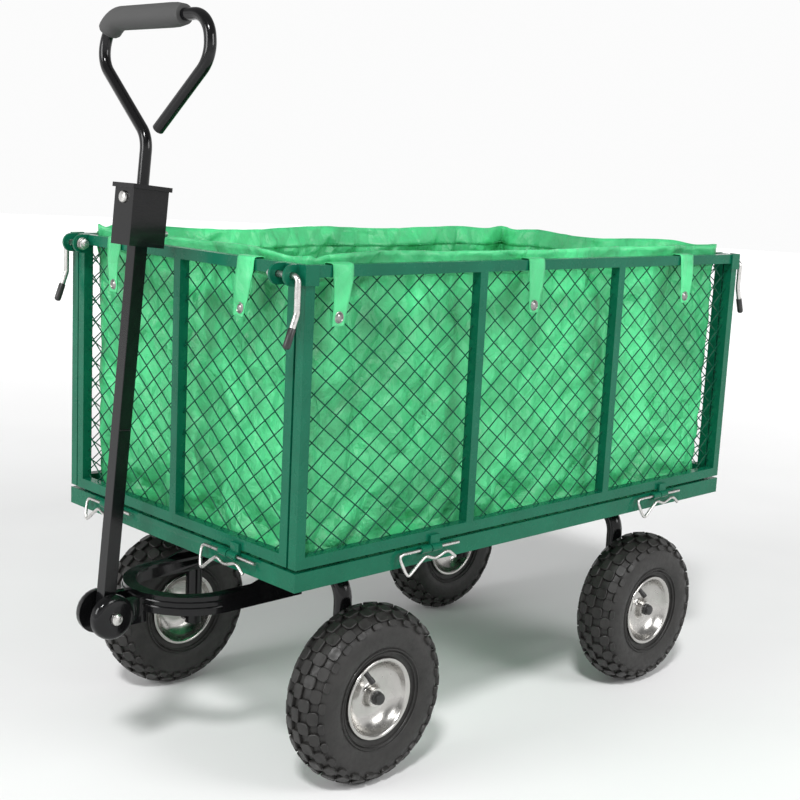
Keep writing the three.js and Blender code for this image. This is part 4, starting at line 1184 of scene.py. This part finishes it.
class CART_OT_tongue(bpy.types.Operator):
    """Make the turntable, the tongue with its ribs and cheeks, and the pivot bolt"""

    bl_idname = "garden_cart.tongue"
    bl_label = "Turntable and tongue"

    def execute(self, context):
        softened_copy("turntable_upper", "turntable_top_plate", *BLACK, 0.6 * MM)
        softened_copy("turntable_lower", "turntable_bottom_plate", *BLACK, 0.6 * MM)
        softened_copy("tongue", "tongue_steel", *BLACK, 1.0 * MM)
        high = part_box("tongue")[1]
        half = high.y
        tip = high.x - 76 * MM
        centre_x = tip - half
        top = middle_of("pivot_bolt").z + 26 * MM
        bm = bmesh.new()
        reach = half + 0.1 * MM
        for drop in (8 * MM, 16 * MM):
            run = [Vector((centre_x + reach * math.cos(a), reach * math.sin(a), top - drop))
                   for a in (math.radians(-84 + 168 * k / 40) for k in range(41))]
            tube(bm, run, 1.7 * MM, 8)
        add_piece(bm, "tongue_ribs", "steer", *BLACK)
        self.bolt()
        return {"FINISHED"}

    def bolt(self):
        middle = middle_of("pivot_bolt")
        bm = bmesh.new()
        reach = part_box("pivot_bolt")[1].y - 7 * MM
        lathe(bm, [(0, -reach), (5.9 * MM, -reach), (5.9 * MM, reach), (0, reach)], facing(Y, middle), 28)
        for side in (1, -1):
            place = facing(Vector((0, side, 0)), middle + Vector((0, side * reach, 0)))
            lathe(bm, in_mm([(0, 0), (8.4, 0), (8.4, 2), (7.8, 4.4), (5.6, 6.2), (2.8, 6.9), (0, 7)]), place, 32)
        add_piece(bm, "pivot_bolt_steel", "steer", *BOLT_ZINC, ["pivot_bolt"])


def handle_place():
    """The handle's own frame: z along it from the pivot, x to its front."""
    pivot = middle_of("pivot_bolt")
    pivot.y = 0
    joint = next(j for j in frame["joints"] if j["name"] == "hitch_pin_pull")
    back = Vector(joint["axis"])
    lean = math.atan2(-back.z, -back.x)
    return Matrix.Translation(pivot) @ Matrix.Rotation(-lean, 4, "Y")


class CART_OT_handle(bpy.types.Operator):
    """Make the handle's tube, tow sleeve, hand loop and foam grip"""

    bl_idname = "garden_cart.handle"
    bl_label = "Handle"

    sleeve_end = 580 * MM
    fork = sleeve_end + 62 * MM
    bend = 38 * MM

    def execute(self, context):
        place = handle_place()
        softened_copy("handle_tube", "handle_bar", *BLACK, 3.0 * MM)
        softened_copy("tow_sleeve", "tow_sleeve_steel", *BLACK, 1.6 * MM)
        bm = bmesh.new()
        for y in (-1, 1):
            weld_bead(bm, place @ Vector((-7 * MM, y * 9.6 * MM, 255 * MM)),
                      place @ Vector((7 * MM, y * 9.6 * MM, 255 * MM)), 1.5 * MM)
        add_piece(bm, "handle_weld", "handle", *BLACK, recalc=False)
        self.loop(place)
        self.grip(place)
        return {"FINISHED"}

    def route(self):
        low = self.fork
        return [(0, 0, self.sleeve_end - 32 * MM), (0, 0, low), (0, -124 * MM, low + 100 * MM),
                (0, -112 * MM, low + 155 * MM), (0, 112 * MM, low + 155 * MM), (0, 124 * MM, low + 100 * MM),
                (0, 24 * MM, low + 10.8 * MM)]

    def loop(self, place):
        bm = bmesh.new()
        tube(bm, [place @ p for p in rounded(self.route(), self.bend, 12)], 8 * MM, 24)
        add_piece(bm, "hand_loop", "handle", *BLACK, ["grip_loop"])

    def grip(self, place):
        """The foam sleeve over one side of the loop, with rounded ends."""
        run = rounded(self.route(), self.bend, 16)
        start = next(k for k, p in enumerate(run) if p.y < -100 * MM and p.z > self.fork + 136 * MM)
        end = next(k for k, p in enumerate(run) if p.y > 0 and p.z > self.fork + 150 * MM)
        points = run[start:end]
        last = points[-1]
        points += [last.lerp(Vector((0, 60 * MM, self.fork + 155 * MM)), k / 10) for k in range(1, 11)]
        ends = [13.2 * MM, 15.4 * MM]
        radii = ends + [15.9 * MM] * (len(points) - 4) + ends[::-1]
        bm = bmesh.new()
        tube(bm, [place @ p for p in points], radii, 36)
        add_piece(bm, "foam_sleeve", "handle", "foam", "foam", ["foam_grip"], sharp=60)


class CART_OT_handle_fasteners(bpy.types.Operator):
    """Make the loop's bolt and the hitch pin with its ring"""

    bl_idname = "garden_cart.handle_fasteners"
    bl_label = "Handle bolt and hitch pin"

    def execute(self, context):
        place = handle_place()
        depth = 27 * MM
        bolt_height, pin_height = 562 * MM, 519 * MM
        bm = bmesh.new()
        forward = place @ at(0, 0, bolt_height) @ Matrix.Rotation(math.pi / 2, 4, "Y")
        lathe(bm, [(0, -12 * MM), (3.9 * MM, -12 * MM), (3.9 * MM, depth + 0.3 * MM),
                   (8.0 * MM, depth + 0.3 * MM), (8.0 * MM, depth + 1.8 * MM), (6.9 * MM, depth + 3.6 * MM),
                   (4.0 * MM, depth + 4.7 * MM), (0, depth + 5.0 * MM)], forward, 32)
        add_piece(bm, "sleeve_bolt_steel", "handle", *BOLT_ZINC, ["sleeve_bolt"])
        bm = bmesh.new()
        backward = place @ at(0, 0, pin_height) @ Matrix.Rotation(-math.pi / 2, 4, "Y")
        lathe(bm, [(0, -12 * MM), (3.4 * MM, -12 * MM), (4.4 * MM, -10.5 * MM), (4.4 * MM, depth + 15.5 * MM),
                   (3.6 * MM, depth + 17 * MM), (0, depth + 17 * MM)], backward, 28)
        ring = [place @ Vector((-depth - 5 * MM, 9 * MM * math.cos(a), pin_height + 9 * MM * (1 + math.sin(a))))
                for a in (math.radians(-89 + 358 * k / 40) for k in range(41))]
        tube(bm, ring, 1.7 * MM, 12)
        add_piece(bm, "hitch_pin_steel", "hitch_pin_body", *BOLT_ZINC, ["hitch_pin"])
        return {"FINISHED"}


class CART_OT_stage(bpy.types.Operator):
    """Make the floor, the soft lights and the camera"""

    bl_idname = "garden_cart.stage"
    bl_label = "Stage"

    def execute(self, context):
        self.floor()
        self.lights()
        self.camera(context.scene.cart_stage)
        return {"FINISHED"}

    def floor(self):
        bm = bmesh.new()
        bmesh.ops.create_circle(bm, cap_ends=True, radius=14, segments=96)
        bmesh.ops.bevel(bm, geom=list(bm.edges), offset=0.05, segments=2, profile=0.5, affect="EDGES",
                        material=-1)
        mesh = bpy.data.meshes.new("floor")
        bm.to_mesh(mesh)
        bm.free()
        mesh.materials.append(look("paper"))
        put("floor", mesh)

    def lights(self):
        lamps = [("front softbox", (3.6, -0.6, 1.9), 1.5, 62), ("side softbox", (-0.9, 3.4, 2.3), 1.6, 62)]
        for name, place, size, power in lamps:
            light = bpy.data.lights.new(name, "AREA")
            light.size = size
            light.energy = power
            self.hang(name, light, place)
        sun = bpy.data.lights.new("sky panel", "SUN")
        sun.energy = 1.9
        sun.angle = math.radians(9)
        self.hang("sky panel", sun, (2.6, 2.0, 4.4))
        self.surround()
        bpy.context.scene.view_settings.view_transform = "Standard"

    def hang(self, name, light, place):
        """Puts a light somewhere and points it at the cart's middle."""
        lamp = put(name, light)
        lamp.location = place
        lamp.rotation_mode = "QUATERNION"
        lamp.rotation_quaternion = (Vector((0, 0, 0.4)) - Vector(place)).to_track_quat("-Z", "Y")

    def surround(self):
        """A white wall all round the cart, under a dimmer ceiling."""
        world = bpy.data.worlds.new("studio")
        world.use_nodes = True
        nodes, links = world.node_tree.nodes, world.node_tree.links
        direction = nodes.new("ShaderNodeTexCoord").outputs["Generated"]
        height = nodes.new("ShaderNodeSeparateXYZ")
        links.new(direction, height.inputs[0])
        brightness = nodes.new("ShaderNodeMapRange")
        brightness.interpolation_type = "SMOOTHSTEP"
        for socket, value in zip(("From Min", "From Max", "To Min", "To Max"), (0.22, 0.5, 0.97, 0.26)):
            brightness.inputs[socket].default_value = value
        links.new(height.outputs["Z"], brightness.inputs["Value"])
        background = nodes["Background"]
        background.inputs["Color"].default_value = (1, 1, 1, 1)
        links.new(brightness.outputs["Result"], background.inputs["Strength"])
        bpy.context.scene.world = world

    def camera(self, settings):
        data = bpy.data.cameras.new("camera")
        data.sensor_width = 36
        data.lens = settings.lens
        camera = put("camera", data)
        reach = settings.distance
        camera.location = DECK_CENTRE + Vector((
            reach * math.cos(settings.bearing), reach * math.sin(settings.bearing), settings.height))
        a, e = settings.azimuth, settings.elevation
        back = Vector((math.sin(a) * math.cos(e), -math.cos(a) * math.cos(e), math.sin(e)))
        camera.rotation_mode = "QUATERNION"
        camera.rotation_quaternion = (-back).to_track_quat("-Z", "Y") @ Quaternion(Z, settings.roll)
        bpy.context.scene.camera = camera


class CART_PT_pieces(bpy.types.Panel):
    """Lists the cart's pieces and their settings"""

    bl_idname = "CART_PT_pieces"
    bl_label = "Garden cart"
    bl_space_type = "VIEW_3D"
    bl_region_type = "UI"
    bl_category = "Garden cart"

    def draw(self, context):
        for operator in OPERATORS:
            self.layout.operator(operator.bl_idname)
        for name, group in SETTINGS.items():
            column = self.layout.column()
            column.label(text=group.__doc__)
            for prop in group.__annotations__:
                column.prop(getattr(context.scene, name), prop)


SETTINGS = {
    "cart_wheels": WheelSettings,
    "cart_mesh": MeshSettings,
    "cart_bag": BagSettings,
    "cart_steel": SteelSettings,
    "cart_stage": StageSettings,
}
OPERATORS = (
    CART_OT_stage, CART_OT_steelwork, CART_OT_wire_mesh, CART_OT_hinge_pins, CART_OT_latches, CART_OT_bag,
    CART_OT_straps, CART_OT_tyres, CART_OT_rims, CART_OT_axles, CART_OT_tongue, CART_OT_handle,
    CART_OT_handle_fasteners,
)


def register():
    for group in (*SETTINGS.values(), *OPERATORS, CART_PT_pieces):
        bpy.utils.register_class(group)
    for name, group in SETTINGS.items():
        setattr(bpy.types.Scene, name, PointerProperty(type=group))


def unregister():
    for name in SETTINGS:
        delattr(bpy.types.Scene, name)
    for group in reversed((*SETTINGS.values(), *OPERATORS, CART_PT_pieces)):
        bpy.utils.unregister_class(group)


def main():
    """Builds every piece."""
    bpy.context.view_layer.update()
    register()
    for operator in OPERATORS:
        group, name = operator.bl_idname.split(".")
        getattr(getattr(bpy.ops, group), name)()
    bpy.context.view_layer.update()


if __name__ == "__main__":
    main()
